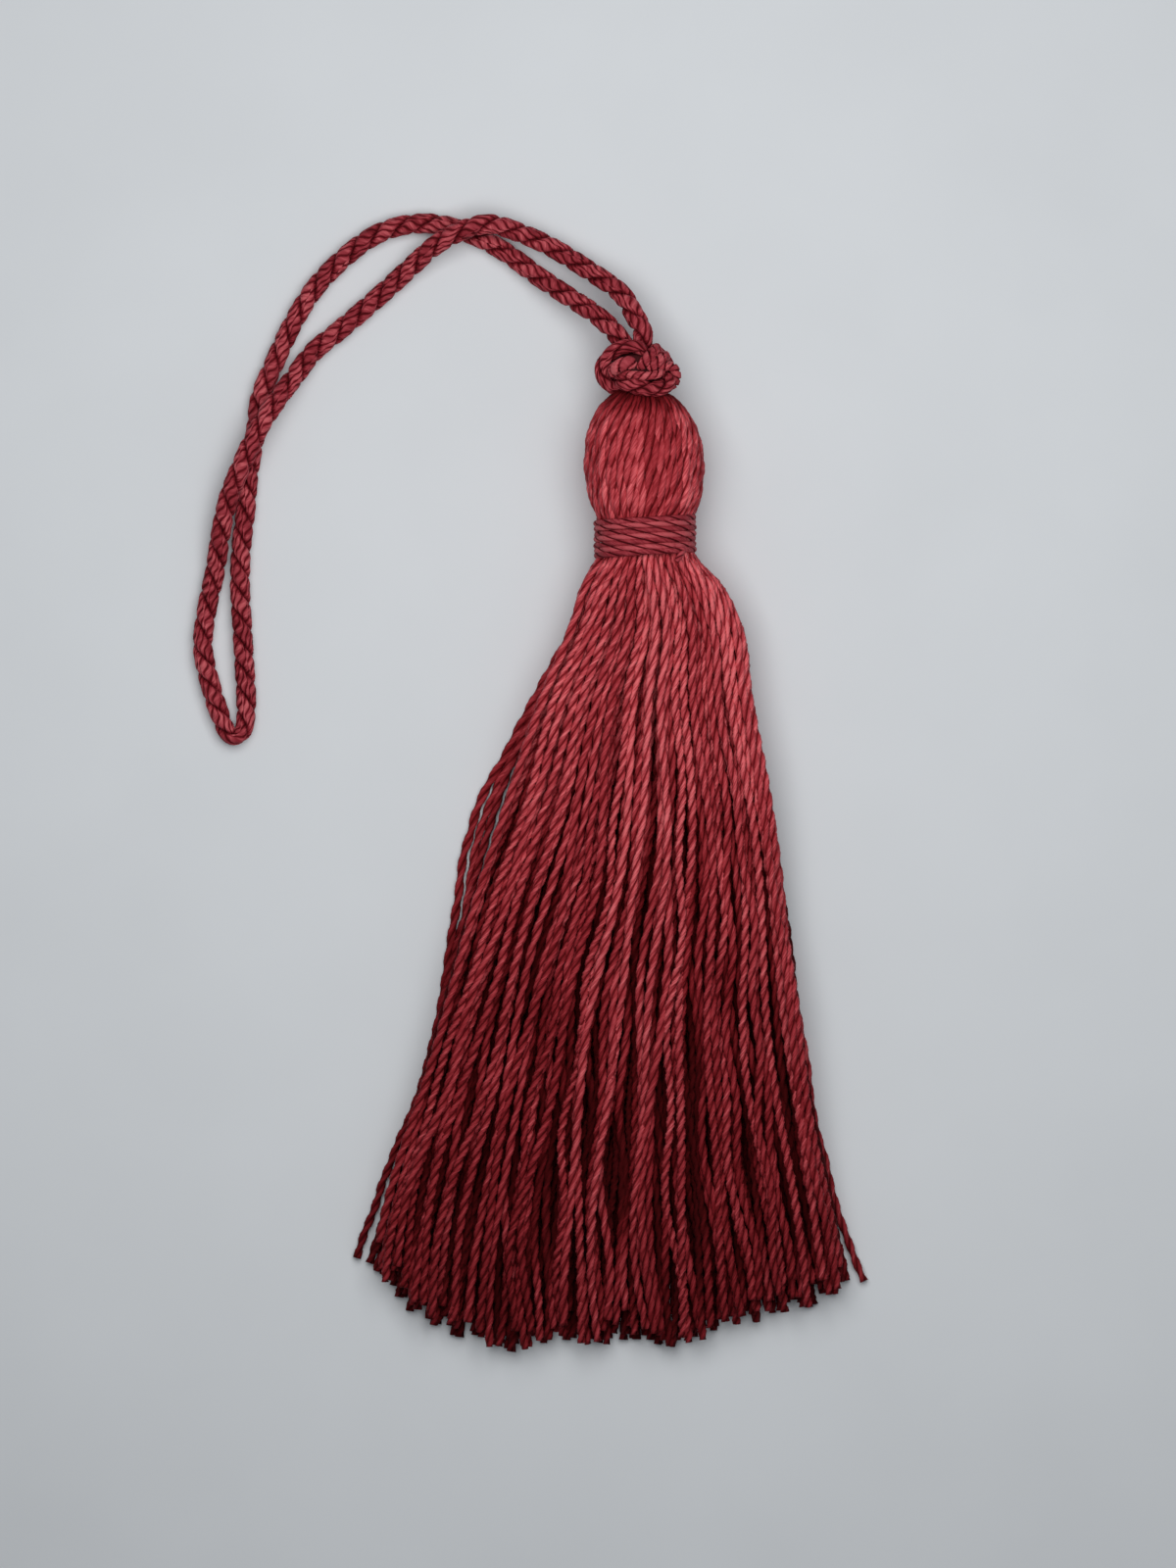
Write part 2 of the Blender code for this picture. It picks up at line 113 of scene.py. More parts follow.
# Where the strands end along the fan: x, y
TIP_LINE = np.array((
    (-26.5, -70.6), (-25.2, -71.3), (-22.4, -74.3), (-19.5, -76.5), (-15.0, -77.8), (-10.7, -78.7),
    (-7.7, -77.8), (3.6, -78.2), (7.3, -76.7), (12.3, -75.2), (16.4, -74.6), (17.9, -73.0), (21.2, -72.4),
))
TIP_SPREAD = 2.4
TIP_WAVE = 0.5
TIP_WAVE_RATE = 2.4

# Waves of the strands below the neck. The comb moves them all, and each has a waver of its own
WAVES_FROM = 12
WAVES_GROW = 30
COMB_REACH = 0.75
COMB_LENGTH = 62.0
COMB_DELAY = 5  # at the top of the pile, in radians
WAVER = 0.36
FLOOR_WAVER = 0.06
WAVER_LENGTHS = (12, 34)
SIDE_CALM = 0.7  # share of the waver that is lost at the skirt's sides
LEAST_HEIGHT = 0.65  # of a strand's middle over the underside, in pitches

# Angles of a yarn section's points in degrees, with the groove between its plies at 90 and 270. Then how far out the
# middle of a ply is, and its half heights, in half widths of the yarn
FINE_SECTION = (20, 68, 90, 112, 160, 200, 248, 270, 292, 340)
PLAIN_SECTION = (0, 60, 90, 120, 180, 240, 270, 300)
YARN_REACH = 0.44
STRAND_HEIGHT = 0.72
HEAD_YARN_HEIGHT = 0.78
THREAD_HEIGHT = 0.9
TUCKED_HEIGHT = 0.8

# Named values of each point: the yarn's own dye, the groove between two plies, the depth in the pile, the way down
YARN_VALUES = ("tone", "groove", "shade", "fall")

# Painted shade: how dark the hollows of the pile are painted, and how much darker the skirt is painted further down:
# distance below the head's middle, share
PILE_SHADE = ((10, 15, 22, 34, 48, 60, 76), (0, 0, 0.15, 0.75, 1.3, 1.7, 1.9))
SKIRT_FALL_SHADE = ((8, 20, 33, 46, 63, 76), (0, 0.02, 0.13, 0.3, 0.46, 0.72))
SHADE_GROWTH = 2.1
SHADE_START = 0.06
SHADE_LIMIT = 0.75
TIP_SHADE = ((0, 6), (0.1, 1))  # distance above the tip, share

LAY_RANGE = (0.74, 1.25)
WIDTH_RANGE = (0.94, 1.05)
NECK_PRESS = ((9, 16, 32), (1.34, 1.16, 1.0))  # distance below the head's middle, width
STRAY_PITCH = 0.74
# Painted shade of the stray strands
STRAY_SHADE = 0.12
STRAY_RINGS = 190

# Layers of the skirt from the floor up: name, rings of points, section, lift, waver
SKIRT_LAYERS = (
    ("skirt_floor", 100, PLAIN_SECTION, 0.0, FLOOR_WAVER),
    ("skirt_inner", 110, PLAIN_SECTION, 0.2, WAVER),
    ("skirt_middle", 190, FINE_SECTION, 0.25, WAVER),
    ("skirt_top", 200, FINE_SECTION, 0.35, WAVER),
)
TOP_LACKS = 6  # every sixth strand, counted from one side

# Neck, binding and the binding thread's tucked end
NECK_AXIS_Z = 4.7
NECK_TOP_Y = -7.4
NECK_YARN_RADIUS = 3.55
NECK_FLARE_RADIUS = 4.2
# Rows of the neck's core, dark with painted shade, laid out as the head's rows
NECK_CORE = ((-8.6, 3.1, 0.0, 3.1, NECK_AXIS_Z), (-10.2, 3.3, 0.3, 2.9, 4.3))
BINDING_MIDDLE_Y = -6.7
BINDING_LENGTH = 3.4
BINDING_TURNS = 7
BINDING_RADIUS = 4.24
BINDING_TILT = 0.045
BINDING_START = 0.55
BINDING_RINGS = 1500
BINDING_WAVES = ((0.03, 1.37, 0.6), (0.03, 0.41, 2.0))  # along the neck: reach, rate, start
BINDING_SWELL = (0.03, 0.73, 1.0)  # in its radius
THREAD_LAY = 4.2
THREAD_PRESS = 1.16
THREAD_TONE = 0.35
THREAD_TONE_LENGTH = 9
TUCKED_END = ((3.35, -8.0, 7.3), (3.2, -8.35, 7.75), (3.0, -8.7, 7.95), (2.75, -9.05, 8.0))
TUCKED_LAY = 1.6
TUCKED_PRESS = 1.05
TUCKED_RINGS = 60

# Head profile from under the knot to inside the binding: y, half width, middle x, half height, middle z
HEAD_ROWS = np.array((
    (6.5, 0.9, -0.5, 0.6, 4.9),
    (6.15, 1.8, -0.45, 1.0, 4.9),
    (5.65, 2.7, -0.38, 1.6, 4.9),
    (5.05, 3.4, -0.33, 2.5, 4.9),
    (4.3, 4.05, -0.3, 3.45, 4.9),
    (2.6, 4.95, -0.2, 4.6, 4.85),
    (0.9, 5.3, -0.1, 5.05, 4.85),
    (-1.2, 5.35, -0.05, 5.1, 4.85),
    (-3.2, 5.08, 0.0, 4.85, 4.8),
    (-4.4, 4.65, 0.0, 4.45, 4.75),
    (-5.2, 4.25, 0.0, 4.15, NECK_AXIS_Z),
    (-6.6, 3.95, 0.0, 3.95, NECK_AXIS_Z),
))
HEAD_YARNS = 50
HEAD_RINGS = 90
HEAD_YARN_WIDTH = 0.58  # half of it, as a share of a strand's width
HEAD_YARN_ROOM = 0.76  # the same, as a share of the distance between yarns
HEAD_WIDTH_RANGE = (0.94, 1.08)
HEAD_LAY_RANGE = (4.0, 5.6)
HEAD_LEAN = 0.02
HEAD_OFFSET = 0.012
HEAD_WAVE = (0.014, 1.3)  # in angle: reach, turns
HEAD_DEPTH_RANGE = (-0.02, 0.08)
HEAD_DEPTH_WAVE = (0.04, 2.1)
# Painted shade on the head: darkest under the knot, lighter over the middle, darker again into the binding
HEAD_SHADE = ((0, 0.1, 0.3, 0.8, 0.95, 1), (1.0, 0.8, 0.2, 0.1, 0.25, 0.6))  # way down the head, share
# The head's core, dark with painted shade: how far in it lies, its least half width, and the cores' clearance over the
# floor
HEAD_CORE_DEPTH = 0.62
LEAST_CORE_WIDTH = 0.5
CORE_CLEARANCE = 0.05

# The hanging loop's route from the knot along its upper leg, around its end and back along its lower leg: x, y, z
LOOP_ROUTE = (
    (-0.2, 11.3, 4.9), (-0.9, 12.7, 4.5), (-2.2, 14.8, 3.5), (-5.1, 16.9, 2.4), (-8.5, 19.0, 1.8),
    (-11.5, 20.3, 2.1), (-13.8, 20.9, 2.6), (-16.0, 20.4, 2.9), (-18.6, 19.0, 2.3), (-20.9, 17.0, 1.3),
    (-23.3, 14.8, 0.95), (-27.0, 11.6, 0.92), (-29.4, 9.6, 1.0), (-31.2, 7.2, 1.7), (-32.6, 5.3, 2.5),
    (-34.2, 2.8, 2.95), (-35.8, -0.6, 2.8), (-36.9, -3.4, 2.3), (-37.6, -6.6, 1.8), (-38.1, -9.8, 1.1),
    (-38.8, -13.0, 0.92), (-39.2, -16.5, 0.92), (-38.5, -20.0, 0.92), (-37.55, -22.9, 0.92), (-36.9, -24.25, 0.92),
    (-36.1, -24.45, 0.92), (-35.5, -23.6, 0.92), (-35.35, -21.3, 0.92), (-35.5, -18.3, 0.92), (-35.7, -14.8, 0.92),
    (-35.9, -11.3, 0.92), (-35.8, -7.8, 0.92), (-35.4, -4.3, 0.92), (-35.1, -0.9, 0.92), (-34.5, 2.6, 0.92),
    (-34.1, 5.6, 0.92), (-33.0, 8.3, 0.92), (-31.4, 11.8, 0.92), (-29.6, 14.8, 0.92), (-27.6, 17.1, 0.92),
    (-25.0, 19.3, 0.92), (-22.7, 20.5, 0.92), (-20.2, 21.0, 0.92), (-17.6, 20.8, 0.92), (-14.6, 19.7, 0.92),
    (-12.0, 18.2, 1.0), (-9.6, 16.4, 1.5), (-7.1, 14.7, 2.6), (-4.4, 12.9, 3.8), (-2.7, 11.3, 4.7),
)
LOOP_IN_KNOT = ((-0.35, 9.5, 4.9), (-1.5, 9.6, 4.8))
LOOP_END_THINNING = 0.14
LOOP_END_REACH = 3.0
LOOP_RINGS = 800

# A rope's two plies: how far out the middle of each is and its half height, as shares of the rope's radius, the
# depth between its yarns as a share of its own radius, and the cosines over which the painted shade in the groove
# between plies deepens
PLY_REACH = 0.44
PLY_HEIGHT = 0.86
LOBE_DEPTH = 0.15
# Points over one lobe: place in it, share of LOBE_DEPTH, painted shade in the groove
LOBE_POINTS = np.array(((0.0, 1.0, 1.0), (0.2, 0.1, 0.12), (0.5, 0.0, 0.0), (0.8, 0.1, 0.12)))
PLY_GROOVE_SHADE_FROM = -0.25
PLY_GROOVE_SHADE_WIDTH = 0.6
PLY_LOBE_SHIFT = 1.3  # of the second ply's yarns, in radians
PLY_WAVES = ((0.2, 2.9, 3, 1), (0.15, 4.7, 5, 0))  # reach, rates along and around, change between plies
CORD_LOBES = 7

# The knot's cord as arcs over its front, and the same arcs turned around behind. Each arc: radius, length of one
# turn, lobes of a ply, then x, y, z of its points
KNOT_MIDDLE = (-0.65, 8.0, 4.95)
# The knot's core, dark with painted shade: half sizes in x, y and z
KNOT_CORE = (2.5, 1.5, 1.5)
KNOT_CORE_RINGS = 12
KNOT_CORE_REACH = 0.46  # of its rings towards its ends, in half turns
KNOT_BACK = (-0.84, 0.9, -1)
KNOT_RINGS = 60
KNOT_END_WIDTH = 0.7
KNOT_END_SHARE = 8  # an arc narrows over this part of its length
# Gain of the painted shade in the knot's grooves
KNOT_GROOVE_SHADE = 1.2
KNOT_ARCS = (
    (0.64, 5.0, 7, ((-2.1, 6.1, 4.6), (-2.95, 6.4, 4.6), (-3.5, 6.95, 4.8), (-3.82, 7.6, 5.0), (-3.75, 8.35, 5.3),
                    (-3.25, 9.1, 5.6), (-2.5, 9.7, 5.9), (-1.55, 9.98, 6.1), (-0.7, 9.93, 6.1), (0.0, 9.5, 5.9))),
    (0.60, 1.9, 0, ((-2.8, 7.6, 5.6), (-2.55, 8.05, 6.5), (-2.05, 8.35, 7.0), (-1.5, 8.52, 7.1), (-0.95, 8.4, 6.8))),
    (0.48, 1.35, 0, ((-0.5, 8.0, 6.6), (0.1, 8.8, 7.0), (0.6, 9.4, 6.7), (0.95, 9.78, 5.9), (0.95, 9.7, 5.1))),
    (0.47, 1.35, 0, ((0.35, 7.9, 6.7), (1.0, 8.5, 6.9), (1.45, 8.9, 6.5), (1.75, 9.12, 5.7), (1.7, 9.0, 4.9))),
    (0.43, 1.4, 0, ((1.2, 7.9, 6.5), (1.9, 8.25, 6.4), (2.5, 8.1, 6.1), (2.76, 7.5, 5.8), (2.65, 6.9, 5.4),
                    (2.3, 6.4, 4.8))),
    (0.38, 1.3, 0, ((-2.0, 7.5, 6.6), (-0.9, 7.42, 7.2), (0.05, 7.36, 7.4), (0.9, 7.45, 7.2), (1.6, 7.75, 6.7))),
    (0.68, 3.6, 7, ((-2.3, 7.2, 6.4), (-1.85, 6.74, 6.9), (-1.0, 6.44, 7.2), (0.0, 6.24, 7.3), (0.9, 6.2, 7.1),
                    (1.7, 6.42, 6.7), (2.1, 6.95, 6.3), (1.95, 7.45, 6.0))),
)

# Yarns: whose settings, which colour there and how much of it is left, then values for the inputs of the yarn's group.
# The cores' yarn keeps a tenth of its lit colour, as painted shade
YARN_INPUTS = ("Fibres Around", "Fibre Slant", "Tone Depth", "Groove Depth", "Shade Depth", "Fall Depth")
YARN_LOOKS = {
    "hank yarn": ("tassel_yarn", "lit_color", 1.0, (18, -1.2, 0.25, 0.64, 0.95, 0.45)),
    "inner yarn": ("tassel_yarn", "lit_color", 0.1, (160, -1.0, 0.3, 0.0, 0.0, 0.0)),
    "cord yarn": ("tassel_cord", "lit_color", 1.0, (12, -1.0, 0.3, 0.75, 0.0, 0.0)),
    "binding thread": ("tassel_cord", "thread_color", 1.0, (12, -1.0, 0.4, 1.1, 0.0, 0.0)),
}
YARN_SPECULAR = 0.3
YARN_TINT = (1.0, 0.46, 0.49, 1)
YARN_RELIEF = 0.00005  # height of the fibres in metres

# Lights in metres: name, place, target, side of the square, share of the key light's power, colour
LIGHTS = (
    ("key", (0.0, 0.02, 0.18), (0.005, 0.008, 0), 0.2, 1.0, (1.0, 0.985, 0.97)),
    ("fill", (0.35, -0.15, 0.48), (0, -0.03, 0), 0.4, 0.25, (0.93, 0.97, 1.0)),
)
SKY_COLOR = (0.86, 0.93, 1.0, 1)
SKY_STRENGTH = 0.12
FLOOR_HALF = 1.5
FLOOR_CLOUDS = 0.93

# The photograph's scale and frame, for the camera: pixels per millimetre, and the pixel of the origin
PHOTO_SCALE = 11.5
PHOTO_SIZE = (1200, 1600)
ORIGIN_PIXEL = (658, 470)


def length_setting(name, default, description):
    return bpy.props.FloatProperty(name=name, description=description, default=default, unit="LENGTH")


def color_setting(name, default, description):
    return bpy.props.FloatVectorProperty(name=name, description=description, subtype="COLOR", size=3, default=default)


class TasselYarnSettings(bpy.types.PropertyGroup):
    """Sizes and colours of the hank's yarn."""

    strand_width: length_setting("Strand width", 0.00085, "Width of a two-ply skirt strand")
    lay_at_neck: length_setting("Lay at the neck", 0.0044, "Length of one full twist near the binding")
    lay_at_tips: length_setting("Lay at the tips", 0.0030, "Length of one full twist near the cut ends")
    lit_color: color_setting("Lit yarn", (0.80, 0.16, 0.176), "Colour of a clean, lit yarn")
    # The deep colour serves the darkest dye tone and the painted shade in grooves and hollows
    deep_color: color_setting("Deep yarn", (0.06, 0.0006, 0.0012), "Colour in the grooves and of the darkest yarns")
    # Painted shade: how far the skirt is dimmed towards black at its ends
    painted_shade_at_tips: bpy.props.FloatProperty(
        name="Darker tips", description="How much of the skirt's brightness is lost at its ends", subtype="FACTOR",
        default=0.35, min=0, max=1)


class TasselCordSettings(bpy.types.PropertyGroup):
    """Sizes of the rope in the knot and the loop, and of the binding thread."""

    cord_width: length_setting("Cord width", 0.00176, "Width of the hanging cord")
    cord_lay: length_setting("Cord lay", 0.0047, "Length of one full turn of the cord's two plies")
    ply_lay: length_setting("Ply lay", 0.0058, "Length of one full turn of a ply's own yarns")
    thread_width: length_setting("Thread width", 0.00053, "Width of the binding thread")
    lit_color: color_setting("Lit cord", (0.56, 0.11, 0.125), "Colour of the lit cord")
    thread_color: color_setting("Lit thread", (0.50, 0.085, 0.1), "Colour of the lit binding thread")
    # The deep colour serves the darkest dye tone and the painted shade in the cord's grooves
    deep_color: color_setting("Deep cord", (0.05, 0.0008, 0.002), "Colour in the cord's grooves")


class TasselStageSettings(bpy.types.PropertyGroup):
    """The floor and the light."""

    floor_color: color_setting("Floor", (0.75, 0.785, 0.82), "Colour of the pale floor")
    key_power: bpy.props.FloatProperty(
        name="Key light", description="Power of the large soft light", subtype="POWER", default=0.335)
    lens: bpy.props.FloatProperty(name="Lens", description="Focal length in millimetres", default=400)


def fair_line(row_y, values, wanted_y):
    """The cubic through a value at each row, with each slope taken from the rows beside it.

    With t from 0 to 1 between two rows h apart: v = (2t³ − 3t² + 1)·v0 + (t³ − 2t² + t)·h·m0
    + (3t² − 2t³)·v1 + (t³ − t²)·h·m1.
    """
    slope = np.gradient(values, row_y, axis=1)
    place = np.clip(np.searchsorted(-row_y, -wanted_y, side="right") - 1, 0, len(row_y) - 2)
    height = row_y[place + 1] - row_y[place]
    t = (wanted_y - row_y[place]) / height
    pick = np.arange(len(values))[:, None]
    return ((2 * t ** 3 - 3 * t ** 2 + 1) * values[pick, place]
            + (t ** 3 - 2 * t ** 2 + t) * height * slope[pick, place]
            + (3 * t ** 2 - 2 * t ** 3) * values[pick, place + 1]
            + (t ** 3 - t ** 2) * height * slope[pick, place + 1])


def smooth_route(points, count):
    """Points evenly spaced along the cubic curve through the given points, and its length. At each given point the
    curve has the slope between the point's neighbours."""
    route = np.asarray(points, float)
    padded = np.concatenate([2 * route[:1] - route[1:2], route, 2 * route[-1:] - route[-2:-1]])
    t = np.linspace(0, 1, CURVE_STEPS, endpoint=False)[None, :, None]
    before, start, end, after = (padded[step:len(padded) - 3 + step, None] for step in range(4))
    fine = 0.5 * (2 * start + (end - before) * t + (2 * before - 5 * start + 4 * end - after) * t ** 2
                  + (3 * start - before - 3 * end + after) * t ** 3)
    fine = np.concatenate([fine.reshape(-1, 3), route[-1:]])
    along = np.concatenate([[0], np.cumsum(np.linalg.norm(np.diff(fine, axis=0), axis=1))])
    wanted = np.linspace(0, along[-1], count)
    return np.stack([np.interp(wanted, along, fine[:, axis]) for axis in range(3)], 1), along[-1]


def lengths_along(routes):
    """Distance from the start of each route to each of its points."""
    steps = np.linalg.norm(np.diff(routes, axis=-2), axis=-1)
    return np.concatenate([np.zeros(steps.shape[:-1] + (1,)), np.cumsum(steps, axis=-1)], axis=-1)


def square_frames(routes, outward):
    """The outward direction made square to each route, and the side, which is forward × out."""
    forward = np.gradient(routes, axis=-2)
    forward /= np.linalg.norm(forward, axis=-1, keepdims=True) + 1e-12
    out = outward - forward * (outward * forward).sum(-1, keepdims=True)
    out /= np.linalg.norm(out, axis=-1, keepdims=True) + 1e-12
    return out, np.cross(forward, out)


def two_ply_section(angles=FINE_SECTION, height=STRAND_HEIGHT):
    """Angles, radii and painted shade in the groove of two plies pressed side by side.

    Each ply is an ellipse with its middle c from the centre, half width a = 1 − c and half height b. The radius at
    an angle t is the far root of ((r·|cos t| − c)/a)² + (r·sin t/b)² = 1.
    """
    angle = np.radians(angles)
    across = 1 - YARN_REACH
    bend = (np.cos(angle) / across) ** 2 + (np.sin(angle) / height) ** 2
    shift = YARN_REACH * np.abs(np.cos(angle)) / across ** 2
    radius = (shift + np.sqrt(shift ** 2 - bend * ((YARN_REACH / across) ** 2 - 1))) / bend
    return angle, radius, ((radius.max() - radius) / np.ptp(radius)) ** 2


def swept(routes, outward, section, spin, size):
    """A point at each angle a of each section: route + size·r(a)·(cos(a + spin)·out + sin(a + spin)·side)."""
    out, side = square_frames(routes, outward)
    angle, radius = section[:2]
    turned = angle + spin[..., None]
    reach = np.broadcast_to(size, routes.shape[:-1])[..., None] * radius
    return (routes[..., None, :] + (reach * np.cos(turned))[..., None] * out[..., None, :]
            + (reach * np.sin(turned))[..., None] * side[..., None, :])


def rope_faces(count, rings, sides):
    """Quads between neighbouring rings of each rope, and one face over each of its two ends."""
    ring, side = np.meshgrid(np.arange(rings - 1), np.arange(sides), indexing="ij")
    after = (side + 1) % sides
    quads = np.stack([ring * sides + side, ring * sides + after,
                      (ring + 1) * sides + after, (ring + 1) * sides + side], -1).reshape(-1, 4)
    ends = np.stack([np.arange(sides)[::-1], (rings - 1) * sides + np.arange(sides)])
    starts = np.arange(count)[:, None, None] * rings * sides
    return (starts + quads).reshape(-1, 4), (starts + ends).reshape(-1, sides)


def rope_uv(lengths, sides):
    """u goes once around each rope and v is the distance along it, in millimetres, at each face corner."""
    count, rings = lengths.shape
    side = np.arange(sides)[None, None, :, None]
    u = np.broadcast_to((side + np.array((0, 1, 1, 0))) / sides, (count, rings - 1, sides, 4))
    near, far = lengths[:, :-1, None], lengths[:, 1:, None]
    v = np.broadcast_to(np.stack([near, near, far, far], -1), (count, rings - 1, sides, 4))
    quads = np.stack([u, v], -1).reshape(-1, 2)
    ends = np.zeros((count * 2 * sides, 2))
    return np.concatenate([quads, ends])


def mesh_piece(name, points, face_sets, uv, values, yarn, solid, replaces=True):
    """A piece from whole arrays of points in millimetres, faces, corner UVs and named values per point.

    It hangs from the root, and is shown in the place of the solid that it dresses if it replaces it.
    """
    mesh = bpy.data.meshes.new(name)
    corners = np.concatenate([faces.ravel() for faces in face_sets])
    sizes = np.concatenate([np.full(len(faces), faces.shape[1]) for faces in face_sets])
    mesh.vertices.add(len(points))
    mesh.vertices.foreach_set("co", (points * MM).astype(np.float32).ravel())
    mesh.loops.add(len(corners))
    mesh.loops.foreach_set("vertex_index", corners.astype(np.int32))
    mesh.polygons.add(len(sizes))
    mesh.polygons.foreach_set("loop_start", np.concatenate([[0], np.cumsum(sizes)[:-1]]).astype(np.int32))
    mesh.update(calc_edges=True)
    mesh.uv_layers.new(name="yarn").data.foreach_set("uv", uv.astype(np.float32).ravel())
    for value_name in YARN_VALUES:
        attribute = mesh.attributes.new(value_name, "FLOAT", "POINT")
        value = values.get(value_name, np.zeros(len(points)))
        attribute.data.foreach_set("value", value.astype(np.float32).ravel())
    mesh.shade_smooth()
    mesh.materials.append(yarn_material(yarn))
    piece = linked_object(name, mesh)
    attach(piece, "root")
    if replaces:
        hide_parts(solid)
    return piece


def body_piece(name, points, groove, values, yarn, solid):
    """A piece of closed bodies from their points by body, ring and side. Each value is one per body or per ring."""
    count, rings, sides = points.shape[:3]
    spread = {key: np.broadcast_to(np.reshape(value, (count, -1, 1)), (count, rings, sides))
              for key, value in values.items()}
    # groove is the painted shade in the grooves
    spread["groove"] = np.broadcast_to(groove, (count, rings, sides))
    return mesh_piece(name, points.reshape(-1, 3), rope_faces(count, rings, sides),
                      rope_uv(lengths_along(points.mean(axis=2)), sides), spread, yarn, solid)


def rope_piece(name, routes, outward, section, spin, size, values, yarn, solid):
    """A piece of yarns that all have one section and as many rings."""
    return body_piece(name, swept(routes, outward, section, spin, size), section[2], values, yarn, solid)


def strand_places():
    """Where each strand crosses the unit disc of the neck: rings of strands, each ring turned half a step."""
    counts = np.array(STRAND_RINGS)
    ring = np.repeat(np.arange(len(counts)), counts)
    step = np.arange(counts.sum()) - np.repeat(np.cumsum(counts) - counts, counts)
    share = 1 - ring / (len(counts) - 1)
    turn = (step + 0.5 * (ring % 2)) / counts[ring] * TURN
    return share * np.cos(turn), share * np.sin(turn)


def fanned(across, upward, wander=0.0):
    """x and z at each row of the skirt for places in the neck's unit disc.

    At a row of evenness e, x follows (1 − e)·a + e·(asin a + a·√(1 − a²))·2/π, which spreads the disc's area evenly
    over the width, and z follows (1 − e)·u + e·u/√(1 − a²), which fills the pile's height at any width.
    """
    left, right, pile, floor, even, pitch = SKIRT_ROWS.T[1:]
    across, upward = across[:, None], upward[:, None]
    half_chord = np.sqrt(np.clip(1 - across ** 2, 0.02, 1))
    fan_across = across * (1 - even) + (np.arcsin(across) + across * half_chord) * 2 / np.pi * even + wander
    fan_upward = upward * (1 - even) + np.clip(upward / half_chord, -1, 1) * even
    return ((left + right) / 2 + np.clip(fan_across, -1, 1) * ((right - left) / 2 - pitch / 2),
            floor + pitch / 2 + (pile - pitch) * (0.5 + 0.5 * fan_upward))


def laid_strands():
    """x and z of each strand at each row of the skirt, fanned from the neck and kept about one pitch apart.

    Strands that come too near, at a row or a third of the way between two rows, are moved apart, a little in each
    round, and the rows beside it draw each one into a fair line. One that still crosses another is left out.
    """
    rng = np.random.default_rng(5)
    across, upward = strand_places()
    y, left, right, _, floor, _, pitch = SKIRT_ROWS.T
    count = len(across)
    fall = (y[0] - y) / (y[0] - y[-1])
    wander = rng.normal(0, 1, (3, count, 1))
    wanted, wanted_z = fanned(across, upward, WANDER * fall * wander[0]
                              + WANDER_WAVE * np.sin(WANDER_TURNS * TURN * fall + wander[2]) * wander[1])
    x, z = wanted.copy(), wanted_z.copy()
    radius = pitch / 2
    low, high = left + radius, right - radius
    thirds = np.linspace(0, len(y) - 1, 3 * (len(y) - 1) + 1)
    weights = np.clip(1 - np.abs(thirds[:, None] - np.arange(len(y))), 0, 1)
    pitch_there = weights @ pitch
    for turn in range(SPACING_ROUNDS):
        if turn < SPACING_ROUNDS - LOOSE_ROUNDS:
            x[:, 1:-1] += FAIR_SHARE * (0.5 * (x[:, :-2] + x[:, 2:]) - x[:, 1:-1]
                                        - (wanted[:, :-2] + wanted[:, 2:]) * 0.5 + wanted[:, 1:-1])
            x[:, 1:] += ACROSS_SHARE * (wanted - x)[:, 1:]
            z[:, 1:] += HEIGHT_SHARE * (wanted_z - z)[:, 1:]
        apart_x = (x @ weights.T)[:, None] - (x @ weights.T)[None]
        apart_z = (z @ weights.T)[:, None] - (z @ weights.T)[None]
        apart = np.sqrt(apart_x ** 2 + apart_z ** 2) + 1e-9
        push = APART_SHARE * np.clip(pitch_there - apart, 0, None) / apart
        x[:, 1:] += np.clip((push * apart_x).sum(1) @ weights, -LONGEST_MOVE, LONGEST_MOVE)[:, 1:]
        z[:, 1:] += np.clip((push * apart_z).sum(1) @ weights, -LONGEST_MOVE, LONGEST_MOVE)[:, 1:]
        x[:, 1:] = np.clip(x, low, high)[:, 1:]
        z[:, 1:] = np.maximum(z, floor + radius)[:, 1:]
    apart = np.hypot(x[:, None] - x[None], z[:, None] - z[None]) / pitch
    nearest = apart.min(axis=2)
    clear = []
    for strand in range(count):
        if np.all(nearest[strand, clear] > LEAST_SPACING):
            clear.append(strand)
    return x[clear], z[clear]


def floor_strands():
    """The lowest strands, side by side along the floor, evenly spaced where the skirt is open."""
    width = np.linspace(-1, 1, 801)
    even_width = (np.arcsin(width) + width * np.sqrt(1 - width ** 2)) * 2 / np.pi
    across = np.interp(np.linspace(-FLOOR_REACH, FLOOR_REACH, FLOOR_STRANDS), even_width, width)
    return fanned(across, -np.sqrt(1 - across ** 2))


